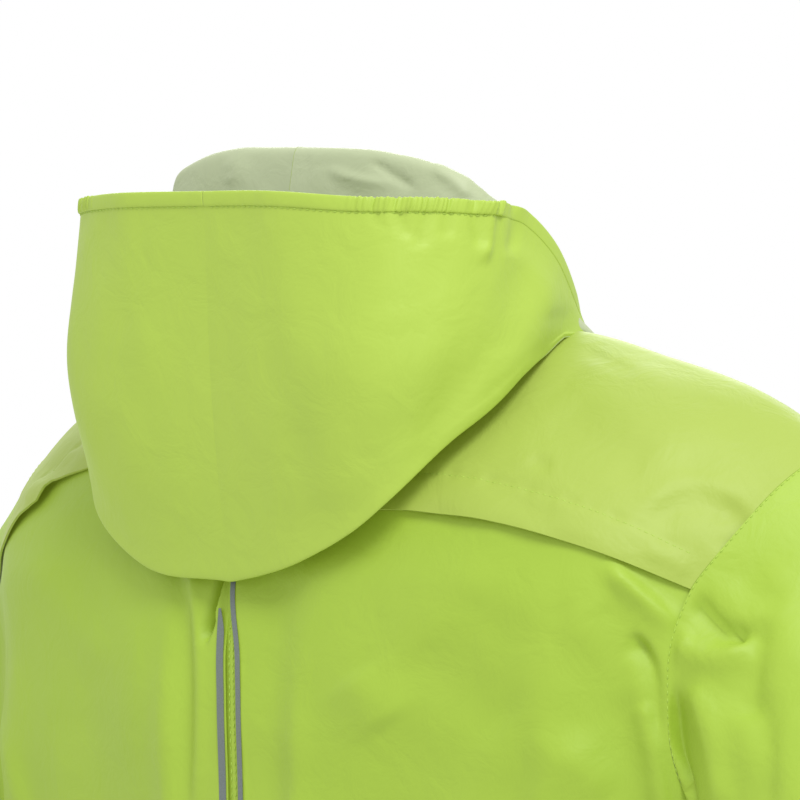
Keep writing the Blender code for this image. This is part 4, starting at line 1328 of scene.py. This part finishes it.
def cad_frame(name):
    """Matrix of a block-shaped CAD node: its middle, with Y up the zip and Z out of it."""
    line, up = zip_line()
    low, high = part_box(name)
    middle = (low + high) / 2
    nearest = int(np.abs(line[:, 2] * CM - middle.z).argmin())
    way_up = Vector(up[nearest])
    turn = axes(RIGHT, way_up, RIGHT.cross(way_up))
    return Matrix.Translation(middle) @ turn @ Matrix.Scale(CM, 4)


def zip_part(name, solid, blocks, body):
    """Hard part of the zip, made of rounded blocks, in place of its solid."""
    bm = bmesh.new()
    lay = cad_frame(solid)
    for low, high, bevel in blocks:
        block(bm, low, high, lay, bevel)
    piece = add_piece(name, bm, (ZIP_PAINT,), body)
    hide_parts(solid)


def zip_slider():
    """Slider: two plates held apart by a wedge, with the bridge that the pull hangs on."""
    zip_part("slider_body", "zip_slider", SLIDER_BLOCKS, "jacket")


def zip_pull():
    """Pull tab: a bar with rounded edges, raised in the middle, and an eye at its top."""
    zip_part("pull_tab", "zip_pull", PULL_BLOCKS, "pull")


# -------- room

# In metres. A light's row has its name, its place, its size and its power in watts.
FLOOR_DROP = 1.47
FLOOR_HALF = 6.0
LIGHTS = (
    ("key", (-1.6, 0.9, 2), 1.2, 60),
    ("front_fill", (1.5, -1.6, 1.2), 1.6, 25),
)
LIGHTS_AIM = Vector((0.0, 0.0, -0.15))


def floor():
    """Plain pale floor at the height where the wearer would stand."""
    bm = bmesh.new()
    bmesh.ops.create_grid(bm, x_segments=1, y_segments=1, size=FLOOR_HALF)
    bmesh.ops.translate(bm, verts=bm.verts, vec=(0.0, 0.0, -FLOOR_DROP))
    paint = plain_finish("painted_floor", "#f4f4f2", "#efefec", 0.8, grain=20.0)
    mesh_object("floor", bm, (paint,))


def area_light(name, place, size, power):
    """Soft round light that looks at the jacket's upper part."""
    data = bpy.data.lights.new(name, "AREA")
    data.shape = "DISK"
    data.size = size
    data.energy = power
    lamp = in_scene(name, data)
    lamp.location = place
    lamp.rotation_euler = (LIGHTS_AIM - lamp.location).to_track_quat("-Z", "Y").to_euler()


def studio():
    """White surroundings and large soft lights, one behind the jacket and one before it."""
    world = bpy.data.worlds.new("white_studio")
    world.use_nodes = True
    background = world.node_tree.nodes["Background"]
    background.inputs["Color"].default_value = (1.0, 1.0, 1.0, 1.0)
    background.inputs["Strength"].default_value = 1.0
    bpy.context.scene.world = world
    bpy.context.scene.view_settings.view_transform = "Standard"
    for light in LIGHTS:
        area_light(*light)


def camera():
    """The photo's view: from behind on the wearer's right, far off with a long lens."""
    data = bpy.data.cameras.new("camera")
    data.lens = CAMERA_LENS
    data.sensor_width = SENSOR
    data.clip_end = 100.0
    viewer = in_scene("camera", data)
    viewer.location = Vector(LOOK_AT + TO_CAMERA * CAMERA_AWAY) * CM
    viewer.rotation_euler = Vector(-TO_CAMERA).to_track_quat("-Z", "Y").to_euler()
    bpy.context.scene.camera = viewer


camera()
studio()
floor()
cape()
back(1, "back_left", BACK_LEFT_CREASES)
back(-1, "back_right", BACK_RIGHT_CREASES)
pleat()
front(1, "front_left")
front(-1, "front_right")
sleeve(1, "sleeve_left", ())
sleeve(-1, "sleeve_right", SLEEVE_RIGHT_CREASES)
hood(1, "hood_left")
hood(-1, "hood_right")
zip_tape(1, "zip_tape_left")
zip_tape(-1, "zip_tape_right")
zip_chain()
zip_slider()
zip_pull()
